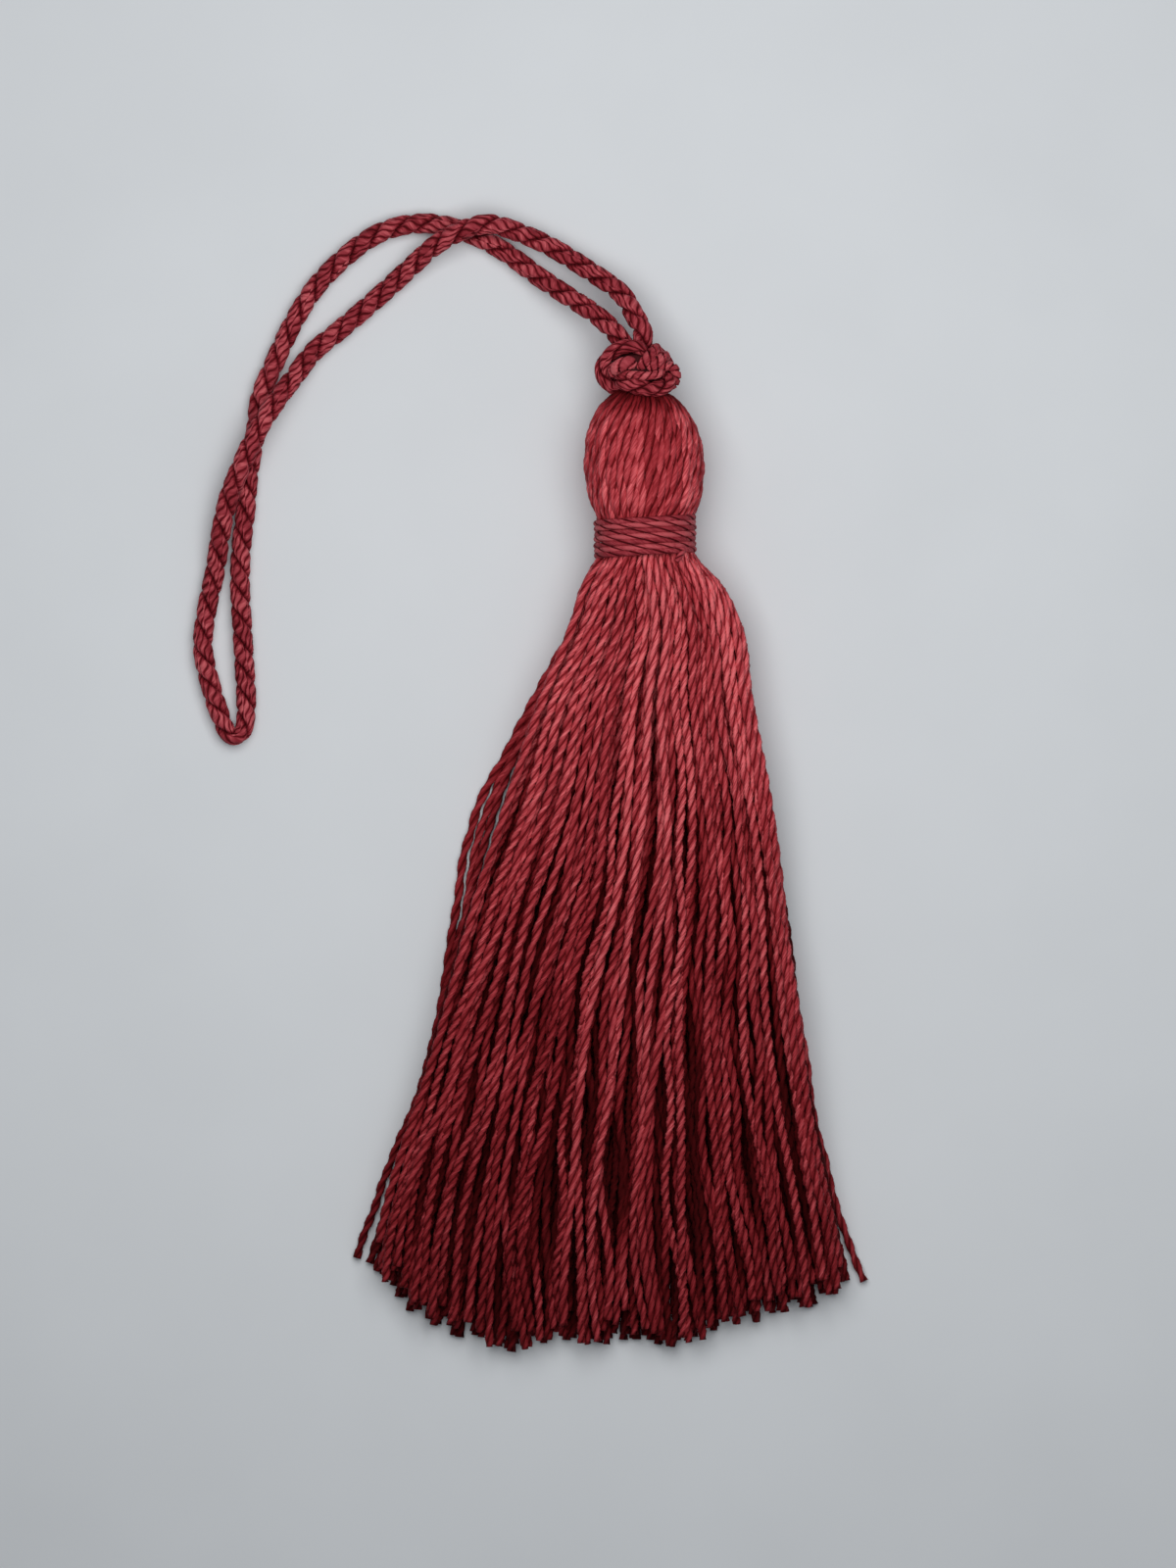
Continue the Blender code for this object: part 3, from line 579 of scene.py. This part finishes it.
def strand_routes(x, z, rings, seed, lift, waver):
    """Each strand's path from inside the binding to its own tip, and the painted shade from its depth under the top of
    the pile.

    Below the neck the path is the fair line through the rows. Above, it closes in on the neck's round section. The
    higher strands are combed to another side than the lower ones: x gains A·sin(2π·y/L + D·h) for a strand at height
    h of the pile. Each strand also wavers a little by itself, more so lower down.
    """
    rng = np.random.default_rng(seed)
    count = len(x)
    height = ((z - SKIRT_ROWS[:, 4]) / SKIRT_ROWS[:, 3])[:, 4:].mean(axis=1, keepdims=True)
    ends = (np.interp(x[:, -1:], TIP_LINE[:, 0], TIP_LINE[:, 1]) + TIP_SPREAD * rng.random((count, 1)) ** 2
            + TIP_WAVE * np.sin(TIP_WAVE_RATE * x[:, -1:]))
    row_y = np.concatenate([[NECK_TOP_Y], SKIRT_ROWS[:, 0]])
    share = NECK_YARN_RADIUS / NECK_FLARE_RADIUS
    x = np.concatenate([x[:, :1] * share, x], axis=1)
    z = np.concatenate([NECK_AXIS_Z + (z[:, :1] - NECK_AXIS_Z) * share, z], axis=1)
    y = NECK_TOP_Y + (ends - NECK_TOP_Y) * np.linspace(0, 1, rings)
    left, right, pile, floor, even, pitch = (np.interp(-y, -SKIRT_ROWS[:, 0], column) for column in SKIRT_ROWS.T[1:])
    route_x, route_z = fair_line(row_y, x, y), fair_line(row_y, z, y)
    side = np.clip((2 * route_x - left - right) / (right - left), -1, 1)
    grow = np.clip((-y - WAVES_FROM) / WAVES_GROW, 0, 1)
    length, phase = rng.uniform(*WAVER_LENGTHS, (2, count, 1)), rng.uniform(0, TURN, (2, count, 1))
    route_x += grow * (1 - side ** 4) * COMB_REACH * np.sin(TURN * y / COMB_LENGTH + COMB_DELAY * height)
    route_x += grow * waver * (1 - SIDE_CALM * side ** 4) * np.sin(TURN * y / length[0] + phase[0])
    route_z += lift * grow + grow * waver * np.sin(TURN * y / length[1] + phase[1])
    route_z = np.maximum(route_z, floor + LEAST_HEIGHT * pitch)
    # Painted shade: a strand deeper under the top of the pile is painted darker, less so near the neck and near its
    # tip
    top = floor + pile * (0.5 + 0.5 * (np.sqrt(1 - side ** 2) * (1 - even) + even))
    shade = np.clip(SHADE_GROWTH * (1 - (route_z + 0.5 * pitch) / top) - SHADE_START, 0, 1)
    shade *= np.interp(-y, *PILE_SHADE) * np.interp(y - ends, *TIP_SHADE)
    return np.stack([route_x, y, route_z], -1), pitch, np.minimum(shade, SHADE_LIMIT)


def feed(tree, target, inputs):
    """Sets a node's inputs, by name or number, each to a value or linked to a socket."""
    for key, value in inputs.items():
        if isinstance(value, bpy.types.NodeSocket):
            tree.links.new(value, target.inputs[key])
        else:
            target.inputs[key].default_value = value


def node(tree, kind, place, inputs=None, **properties):
    made = tree.nodes.new(kind)
    made.location = place
    for name, value in properties.items():
        setattr(made, name, value)
    feed(tree, made, inputs or {})
    return made


def math_node(tree, operation, place, *inputs, clamp=False):
    """The result of a sum or product of values and sockets."""
    made = node(tree, "ShaderNodeMath", place, dict(enumerate(inputs)), operation=operation, use_clamp=clamp)
    return made.outputs[0]


def satin_yarn_group():
    """Colour, roughness and fine relief of a satin yarn.

    Fibres are noise stretched along the yarn and slanted across it. The darkness m, from 0 to 1, is a sum of the
    yarn's own tone, painted shade in the groove between its plies, painted shade from the depth in its pile, painted
    shade down the skirt, the fibres, which carry a painted sheen, and slow clouds. The colour is lit^(1 − m) · deep^m,
    as in light that passes through more and more dye. It is also dimmed down the skirt, as painted shade. The
    roughness is that of the fibres plus 0.4·m.
    """
    group = bpy.data.node_groups.new("satin yarn", "ShaderNodeTree")
    for way, kind, names in (
            ("INPUT", "NodeSocketColor", ("Lit Color", "Deep Color")),
            ("INPUT", "NodeSocketFloat", (*YARN_INPUTS, "Fall Loss")),
            ("OUTPUT", "NodeSocketColor", ("Color",)),
            ("OUTPUT", "NodeSocketFloat", ("Roughness", "Height"))):
        for name in names:
            group.interface.new_socket(name=name, in_out=way, socket_type=kind)
    given = node(group, "NodeGroupInput", (-1500, 0)).outputs
    uv = node(group, "ShaderNodeUVMap", (-1500, -400), uv_map="yarn").outputs[0]
    parts = node(group, "ShaderNodeSeparateXYZ", (-1320, -400), {0: uv}).outputs

    value = {}
    # The darkness m: the yarn's own tone plus painted shade from the groove, the pile's depth and the way down the
    # skirt
    total = -0.25
    for step, name in enumerate(YARN_VALUES):
        value[name] = node(group, "ShaderNodeAttribute", (-1300, 700 - 180 * step), attribute_name=name).outputs["Fac"]
        total = math_node(group, "MULTIPLY_ADD", (-1080 + 160 * step, 700 - 180 * step), value[name],
                          given[name.title() + " Depth"], total)

    around = math_node(group, "MULTIPLY", (-1120, -460), parts["X"], given["Fibres Around"])
    slanted = math_node(group, "MULTIPLY_ADD", (-1120, -300), parts["Y"], given["Fibre Slant"], around)
    slow = math_node(group, "MULTIPLY", (-1120, -620), parts["Y"], 0.7)
    spread = math_node(group, "MULTIPLY", (-1120, -780), value["tone"], 83.0)
    place = node(group, "ShaderNodeCombineXYZ", (-920, -500), {0: slanted, 1: slow, 2: spread}).outputs[0]
    fibres = node(group, "ShaderNodeTexNoise", (-740, -500),
                  {"Vector": place, "Scale": 1.0, "Detail": 3.0, "Roughness": 0.65}).outputs["Fac"]
    where = node(group, "ShaderNodeTexCoord", (-740, -860)).outputs["Object"]
    clouds = node(group, "ShaderNodeTexNoise", (-560, -860),
                  {"Vector": where, "Scale": 170.0, "Detail": 2.0}).outputs["Fac"]

    # The fibres darken or lighten the yarn: partly their own tone, partly a painted sheen
    fibre_tone_and_sheen = node(group, "ShaderNodeMapRange", (-480, -300),
                   {"Value": fibres, "From Min": 0.25, "From Max": 0.75, "To Min": 0.32, "To Max": -0.2})
    streaked = math_node(group, "ADD", (-280, 120), total, fibre_tone_and_sheen.outputs["Result"])
    depth = math_node(group, "MULTIPLY_ADD", (-100, 60), clouds, 0.3, streaked, clamp=True)
    clear = math_node(group, "SUBTRACT", (80, 220), 1.0, depth)
    lit = node(group, "ShaderNodeGamma", (260, 220), {"Color": given["Lit Color"], "Gamma": clear}).outputs[0]
    deep = node(group, "ShaderNodeGamma", (260, 20), {"Color": given["Deep Color"], "Gamma": depth}).outputs[0]
    dyed = node(group, "ShaderNodeMix", (460, 120), {0: 1.0, 6: lit, 7: deep}, data_type="RGBA",
                blend_type="MULTIPLY").outputs[2]
    # Painted shade down the skirt: the colour is dimmed towards black by the fall value
    fall_shade = math_node(group, "MULTIPLY", (460, 420), value["fall"], given["Fall Loss"], clamp=True)
    dimmed = node(group, "ShaderNodeMix", (720, 120), {0: fall_shade, 6: dyed, 7: (0.0, 0.0, 0.0, 1)}, data_type="RGBA")
    rough = node(group, "ShaderNodeMapRange", (460, -200), {"Value": fibres, "To Min": 0.42, "To Max": 0.66})
    dull = math_node(group, "MULTIPLY_ADD", (720, -100), depth, 0.4, rough.outputs["Result"], clamp=True)
    node(group, "NodeGroupOutput", (1100, 0), {"Color": dimmed.outputs[2], "Roughness": dull, "Height": fibres})
    return group


def yarn_material(name):
    """One of the yarns, made once: the group's colour, roughness and relief on one shader."""
    if name in bpy.data.materials:
        return bpy.data.materials[name]
    owner, color, left, values = YARN_LOOKS[name]
    settings = getattr(bpy.context.scene, owner)
    inputs = dict(zip(YARN_INPUTS, values))
    inputs["Lit Color"] = (*(left * c for c in getattr(settings, color)), 1)
    inputs["Deep Color"] = (*settings.deep_color, 1)
    inputs["Fall Loss"] = bpy.context.scene.tassel_yarn.painted_shade_at_tips
    material = bpy.data.materials.new(name)
    material.use_nodes = True
    tree = material.node_tree
    yarn = node(tree, "ShaderNodeGroup", (-500, 0), inputs,
                node_tree=bpy.data.node_groups.get("satin yarn") or satin_yarn_group()).outputs
    relief = node(tree, "ShaderNodeBump", (-240, -200),
                  {"Strength": 0.7, "Distance": YARN_RELIEF, "Height": yarn["Height"]})
    feed(tree, tree.nodes["Principled BSDF"],
         {"Specular IOR Level": YARN_SPECULAR, "Specular Tint": YARN_TINT, "Base Color": yarn["Color"],
          "Roughness": yarn["Roughness"], "Normal": relief.outputs["Normal"]})
    return material


def elliptical_grid(rows, sides):
    """Points of an elliptical tube around Y: (x0 + w·cos a, y, z0 + h·sin a), kept above the floor."""
    angle = np.arange(sides) / sides * TURN
    y, width, middle_x, height, middle_z = (column[:, None] for column in rows.T)
    x = middle_x + width * np.cos(angle)
    z = np.maximum(middle_z + height * np.sin(angle), CORE_CLEARANCE)
    return np.stack([x, np.broadcast_to(y, x.shape), z], -1)


def shadow_core_piece(name, grid, solid):
    """A closed tube for the yarn inside, dark with painted shade, from rings of points, with its ends filled. It lies
    behind the pieces in view.
    """
    rings, sides = grid.shape[:2]
    mesh_piece(name, grid.reshape(-1, 3), rope_faces(1, rings, sides), rope_uv(lengths_along(grid[None, :, 0]), sides),
               {}, "inner yarn", solid, replaces=False)


def skirt_piece(name, routes, pitch, shade, section, seed):
    """One layer of the skirt. The twist grows tighter from the neck to the tips: its turns are the sum of the steps
    along the strand over the lay there. At the neck the strands press on each other."""
    settings = bpy.context.scene.tassel_yarn
    rng = np.random.default_rng(seed)
    count = len(routes)
    lengths = lengths_along(routes)
    share = lengths / lengths[:, -1:]
    lay = (settings.lay_at_neck * (1 - share) + settings.lay_at_tips * share) / MM
    lay = lay * rng.uniform(*LAY_RANGE, (count, 1))
    steps = np.diff(lengths, axis=1) / (0.5 * (lay[:, 1:] + lay[:, :-1]))
    spin = TURN * np.concatenate([rng.random((count, 1)), steps], axis=1).cumsum(axis=1)
    press = np.interp(-routes[..., 1], *NECK_PRESS)
    size = 0.5 * settings.strand_width / MM * pitch / SKIRT_ROWS[-1, 6] * press * rng.uniform(*WIDTH_RANGE, (count, 1))
    # fall and shade are painted shade, down the skirt and deep in the pile; tone is each strand's own dye
    values = {"fall": np.interp(-routes[..., 1], *SKIRT_FALL_SHADE), "shade": shade, "tone": rng.random(count)}
    rope_piece(name, routes, np.broadcast_to(UPWARD, routes.shape), two_ply_section(section), spin, size, values,
               "hank yarn", "yarn_hank")


class TASSEL_OT_skirt(bpy.types.Operator):
    """Lays the skirt's two-ply strands from the binding to their cut ends"""

    bl_idname = "tassel.skirt"
    bl_label = "Skirt"

    def execute(self, context):
        x, z = laid_strands()
        order = np.argsort(z[:, 4:].mean(axis=1))
        lower, middle, upper = np.split(order, (len(order) // 2, 3 * len(order) // 4))
        upper = upper[np.argsort(x[upper, 2])]
        upper = upper[np.arange(len(upper)) % TOP_LACKS != 1]
        places = [floor_strands()] + [(x[layer], z[layer]) for layer in (lower, middle, upper)]
        for seed, (name, rings, section, lift, waver) in enumerate(SKIRT_LAYERS):
            skirt_piece(name, *strand_routes(*places[seed], rings, 11 + seed, lift, waver), section, 40 + seed)
        strays = np.stack([smooth_route(points, STRAY_RINGS)[0] for points in STRAY_STRANDS])
        skirt_piece("stray_strands", strays, np.full(strays.shape[:2], STRAY_PITCH),
                    np.full(strays.shape[:2], STRAY_SHADE), FINE_SECTION, 50)
        return {"FINISHED"}


class TASSEL_OT_head(bpy.types.Operator):
    """Draws the folded yarns over the head, from under the knot into the binding"""

    bl_idname = "tassel.head"
    bl_label = "Head"

    def execute(self, context):
        settings = context.scene.tassel_yarn
        rng = np.random.default_rng(31)
        count, rings = HEAD_YARNS, HEAD_RINGS
        across, upright = (smooth_route(HEAD_ROWS[:, (0, column, column + 1)], rings)[0] for column in (1, 3))
        y, width, middle_x = across.T
        height, middle_z = upright[:, 1:].T
        t = np.linspace(0, 1, rings)[None]
        even = np.arange(count)[:, None] / count * TURN
        lean, phase = rng.normal(0, HEAD_LEAN, (count, 1)), rng.uniform(0, TURN, (count, 1))
        angle = (even + rng.normal(0, HEAD_OFFSET, (count, 1)) + lean * (t - 0.5)
                 + HEAD_WAVE[0] * np.sin(TURN * HEAD_WAVE[1] * t + phase))
        room = HEAD_YARN_ROOM * (TURN * np.minimum(width, height) / count)
        size = (np.minimum(HEAD_YARN_WIDTH * settings.strand_width / MM, room)[None]
                * rng.uniform(*HEAD_WIDTH_RANGE, (count, 1)))
        depth = (size + rng.uniform(*HEAD_DEPTH_RANGE, (count, 1))
                 + HEAD_DEPTH_WAVE[0] * np.sin(TURN * HEAD_DEPTH_WAVE[1] * t + 2 * phase))
        outward = np.stack([np.cos(angle), 0 * angle, np.sin(angle)], -1)
        x = middle_x + (width - depth) * np.cos(angle)
        z = np.maximum(middle_z + (height - depth) * np.sin(angle), size)
        routes = np.stack([x, np.broadcast_to(y, x.shape), z], -1)
        spin = TURN * (lengths_along(routes) / rng.uniform(*HEAD_LAY_RANGE, (count, 1)) + rng.random((count, 1)))
        values = {"tone": rng.random(count), "shade": np.broadcast_to(np.interp(t, *HEAD_SHADE), (count, rings))}
        rope_piece("head_yarns", routes, outward, two_ply_section(height=HEAD_YARN_HEIGHT), spin, size, values,
                   "hank yarn", "yarn_hank")
        # A core for the yarn inside the head and neck, dark with painted shade, behind the yarns
        inner = HEAD_ROWS.copy()
        inner[:, (1, 3)] = np.maximum(inner[:, (1, 3)] - HEAD_CORE_DEPTH, LEAST_CORE_WIDTH)
        shadow_core_piece("head_core", elliptical_grid(np.concatenate([inner, NECK_CORE]), 64), "yarn_hank")
        return {"FINISHED"}


class TASSEL_OT_binding(bpy.types.Operator):
    """Winds the thread around the neck and tucks its end in"""

    bl_idname = "tassel.binding"
    bl_label = "Binding"

    def execute(self, context):
        rng = np.random.default_rng(41)
        half = 0.5 * context.scene.tassel_cord.thread_width / MM
        t = np.linspace(0, 1, BINDING_RINGS)
        pitch = (BINDING_LENGTH - 2 * half) / (BINDING_TURNS - 1)
        angle = TURN * (BINDING_START + BINDING_TURNS * t)
        stray = sum(reach * np.sin(angle * rate + start) for reach, rate, start in BINDING_WAVES)
        radius = BINDING_RADIUS + BINDING_SWELL[0] * np.sin(angle * BINDING_SWELL[1] + BINDING_SWELL[2])
        x = radius * np.cos(angle)
        first_y = BINDING_MIDDLE_Y + 0.5 * BINDING_LENGTH - half + 0.5 * pitch
        y = first_y - pitch * BINDING_TURNS * t + BINDING_TILT * x + stray
        route = np.stack([x, y, NECK_AXIS_Z + radius * np.sin(angle)], -1)[None]
        outward = np.stack([np.cos(angle), 0 * angle, np.sin(angle)], -1)[None]
        along = lengths_along(route)
        rope_piece("binding_thread", route, outward, two_ply_section(height=THREAD_HEIGHT), TURN * along / THREAD_LAY,
                   np.full((1, BINDING_RINGS), THREAD_PRESS * half),
                   {"tone": THREAD_TONE * (1 + np.sin(along / THREAD_TONE_LENGTH))}, "binding thread", "neck_binding")
        stub = smooth_route(TUCKED_END, TUCKED_RINGS)[0][None]
        rope_piece("binding_end", stub, np.broadcast_to((0.2, 0.2, 1.0), stub.shape),
                   two_ply_section(height=TUCKED_HEIGHT), TURN * lengths_along(stub) / TUCKED_LAY + rng.random(),
                   np.full((1, TUCKED_RINGS), TUCKED_PRESS * half), {"tone": 0.4}, "binding thread", "neck_binding")
        return {"FINISHED"}


def lobed_round(lobes, sides=14):
    """Angles, radii and painted groove shade around a ply: one lobe for each yarn on its outside, or a plain round."""
    if not lobes:
        return np.arange(sides) / sides * TURN, np.ones(sides), np.zeros(sides)
    within, depth, groove = LOBE_POINTS.T
    angle = (np.arange(lobes)[:, None] + within).ravel() / lobes * TURN
    return angle, np.tile(1 - LOBE_DEPTH * depth, lobes), np.tile(groove, lobes)


def rope_plies(route, outward, rope_radius, cord_lay, ply_lay, start, lobes):
    """Points of a rope's two plies by ply, ring and side, and the painted shade of each in the grooves.

    Ply p turns left-handed about the rope, at angle A = start − 2π·s/cord_lay + π·p, with directions out and side.
    It is pressed into half of the rope: a point at angle t of the ply is at (c + (1 − c)·r·cos t)·out
    + h·r·sin t·side, times the rope's radius. The lobes r(t) turn right-handed, once in ply_lay.
    """
    along = lengths_along(route[None])[0][:, None]
    out, side = square_frames(route, outward)
    angle, reach, lobe_groove_shade = lobed_round(lobes)
    plies, grooves = [], []
    for ply in (0, 1):
        ply_angle = start - TURN * along / cord_lay + TURN * ply / 2
        ply_out = (np.cos(ply_angle) * out + np.sin(ply_angle) * side)[:, None]
        ply_side = (np.cos(ply_angle) * side - np.sin(ply_angle) * out)[:, None]
        turn = angle + TURN * along * (1 / ply_lay + 1 / cord_lay) + PLY_LOBE_SHIFT * ply
        for sway, rate, around, change in PLY_WAVES:
            turn = turn + sway * np.sin(rate * along + around * angle + change * ply)
        radius = np.broadcast_to(rope_radius, route.shape[:1])[:, None, None]
        outwards = (PLY_REACH + (1 - PLY_REACH) * reach * np.cos(turn))[..., None]
        sideways = (PLY_HEIGHT * reach * np.sin(turn))[..., None]
        plies.append(route[:, None] + radius * (outwards * ply_out + sideways * ply_side))
        grooves.append(np.maximum(lobe_groove_shade, np.clip((PLY_GROOVE_SHADE_FROM - np.cos(turn)) / PLY_GROOVE_SHADE_WIDTH, 0, 1)))
    return np.stack(plies), np.stack(grooves)


class TASSEL_OT_knot(bpy.types.Operator):
    """Ties the knot from the cord's yarns, arc by arc, on its front and back"""

    bl_idname = "tassel.knot"
    bl_label = "Knot"

    def execute(self, context):
        ply_lay = context.scene.tassel_cord.ply_lay / MM
        rng = np.random.default_rng(53)
        middle = np.asarray(KNOT_MIDDLE)
        from_start = np.linspace(0, KNOT_END_SHARE, KNOT_RINGS)
        ends = KNOT_END_WIDTH + (1 - KNOT_END_WIDTH) * np.clip(np.minimum(from_start, from_start[::-1]), 0, 1)
        made = {"knot_cords": [], "knot_bights": []}
        for facing in ((1, 1, 1), KNOT_BACK):
            for radius, lay, lobes, arc in KNOT_ARCS:
                route = smooth_route(middle + (np.asarray(arc) - middle) * facing, KNOT_RINGS)[0]
                made["knot_cords" if lobes else "knot_bights"].append(
                    rope_plies(route, route - middle, radius * ends, lay, ply_lay, rng.uniform(0, TURN), lobes))
        for name, ropes in made.items():
            points, groove = (np.concatenate(parts) for parts in zip(*ropes))
            body_piece(name, points, KNOT_GROOVE_SHADE * groove, {"tone": rng.random(len(points))}, "cord yarn", "top_knot")
        # A core for the yarn inside the knot, dark with painted shade, behind its arcs
        latitude = np.linspace(-KNOT_CORE_REACH, KNOT_CORE_REACH, KNOT_CORE_RINGS) * np.pi
        rows = np.stack(np.broadcast_arrays(
            middle[1] - KNOT_CORE[1] * np.sin(latitude), KNOT_CORE[0] * np.cos(latitude), middle[0],
            KNOT_CORE[2] * np.cos(latitude), middle[2]), axis=1)
        shadow_core_piece("knot_core", elliptical_grid(rows, 40), "top_knot")
        return {"FINISHED"}


class TASSEL_OT_loop(bpy.types.Operator):
    """Lays the hanging cord along its route from the knot and back"""

    bl_idname = "tassel.loop"
    bl_label = "Hanging loop"

    def execute(self, context):
        settings = context.scene.tassel_cord
        rng = np.random.default_rng(61)
        route, length = smooth_route(LOOP_IN_KNOT[:1] + LOOP_ROUTE + LOOP_IN_KNOT[1:], LOOP_RINGS)
        lowest = min(LOOP_ROUTE, key=lambda point: point[1])
        near_end = np.clip(1 - np.linalg.norm(route - lowest, axis=1) / LOOP_END_REACH, 0, 1)
        radius = 0.5 * settings.cord_width / MM * (1 - LOOP_END_THINNING * near_end)
        points, groove = rope_plies(route, np.broadcast_to(UPWARD, route.shape), radius, settings.cord_lay / MM,
                                    settings.ply_lay / MM, 0.0, CORD_LOBES)
        loop = body_piece("hanging_cord", points, groove, {"tone": rng.random(len(points))}, "cord yarn",
                          "hanging_loop")
        return {"FINISHED"}


def floor_material(color):
    """A pale matt floor with a faint cloudiness."""
    material = bpy.data.materials.new("pale floor")
    material.use_nodes = True
    tree = material.node_tree
    where = node(tree, "ShaderNodeTexCoord", (-900, 0)).outputs["Object"]
    clouds = node(tree, "ShaderNodeTexNoise", (-700, 0), {"Vector": where, "Scale": 60.0, "Detail": 3.0})
    mix = node(tree, "ShaderNodeMix", (-400, 0), {
        0: clouds.outputs["Fac"], 6: (*color, 1), 7: (*(FLOOR_CLOUDS * c for c in color), 1)}, data_type="RGBA")
    feed(tree, tree.nodes["Principled BSDF"],
         {"Roughness": 0.9, "Specular IOR Level": 0.15, "Base Color": mix.outputs[2]})
    return material


def linked_object(name, data):
    made = bpy.data.objects.new(name, data)
    bpy.context.scene.collection.objects.link(made)
    return made


def area_light(name, place, target, size, power, color):
    """A square light that faces its target."""
    data = bpy.data.lights.new(name, "AREA")
    data.size = size
    data.energy = power
    data.color = color
    lamp = linked_object(name, data)
    lamp.visible_camera = False
    lamp.location = place
    away = np.asarray(place) - np.asarray(target)
    across = math.hypot(away[0], away[1])
    lamp.rotation_euler = (math.atan2(across, away[2]), 0, math.atan2(away[0], -away[1]))


class TASSEL_OT_stage(bpy.types.Operator):
    """Sets the pale floor, the soft light and the camera"""

    bl_idname = "tassel.stage"
    bl_label = "Stage"

    def execute(self, context):
        settings = context.scene.tassel_stage
        scene = context.scene
        mesh = bpy.data.meshes.new("floor")
        corners = np.array(((-1, -1, 0), (1, -1, 0), (1, 1, 0), (-1, 1, 0))) * FLOOR_HALF
        mesh.from_pydata(corners.tolist(), [], [(0, 1, 2, 3)])
        mesh.materials.append(floor_material(settings.floor_color))
        linked_object("floor", mesh)

        for name, place, target, size, share, color in LIGHTS:
            area_light(name, place, target, size, share * settings.key_power, color)
        world = bpy.data.worlds.new("room")
        world.use_nodes = True
        feed(world.node_tree, world.node_tree.nodes["Background"], {"Color": SKY_COLOR, "Strength": SKY_STRENGTH})
        scene.world = world
        scene.view_settings.view_transform = "Standard"

        camera = bpy.data.cameras.new("camera")
        camera.lens = settings.lens
        camera.clip_start = 0.01
        seen_length = PHOTO_SIZE[1] / PHOTO_SCALE * MM
        eye = linked_object("camera", camera)
        eye.location = ((PHOTO_SIZE[0] / 2 - ORIGIN_PIXEL[0]) / PHOTO_SCALE * MM,
                        (ORIGIN_PIXEL[1] - PHOTO_SIZE[1] / 2) / PHOTO_SCALE * MM,
                        seen_length * camera.lens / camera.sensor_width)
        scene.camera = eye
        return {"FINISHED"}


class TASSEL_PT_panel(bpy.types.Panel):
    """Lists the tassel's settings and steps"""

    bl_label = "Tassel"
    bl_idname = "TASSEL_PT_panel"
    bl_space_type = "VIEW_3D"
    bl_region_type = "UI"
    bl_category = "Tassel"

    def draw(self, context):
        for settings in (context.scene.tassel_yarn, context.scene.tassel_cord, context.scene.tassel_stage):
            box = self.layout.box()
            for name in settings.__annotations__:
                box.prop(settings, name)
        for operator in STEPS:
            self.layout.operator(operator.bl_idname)


STEPS = (TASSEL_OT_stage, TASSEL_OT_loop, TASSEL_OT_knot, TASSEL_OT_head, TASSEL_OT_binding, TASSEL_OT_skirt)
SETTINGS = (("tassel_yarn", TasselYarnSettings), ("tassel_cord", TasselCordSettings),
            ("tassel_stage", TasselStageSettings))


def register():
    for name, group in SETTINGS:
        bpy.utils.register_class(group)
        setattr(bpy.types.Scene, name, bpy.props.PointerProperty(type=group))
    for kind in (*STEPS, TASSEL_PT_panel):
        bpy.utils.register_class(kind)


def unregister():
    for kind in (TASSEL_PT_panel, *reversed(STEPS)):
        bpy.utils.unregister_class(kind)
    for name, group in reversed(SETTINGS):
        delattr(bpy.types.Scene, name)
        bpy.utils.unregister_class(group)


def main():
    register()
    bpy.ops.tassel.stage()
    bpy.ops.tassel.loop()
    bpy.ops.tassel.knot()
    bpy.ops.tassel.head()
    bpy.ops.tassel.binding()
    bpy.ops.tassel.skirt()


if __name__ == "__main__":
    main()
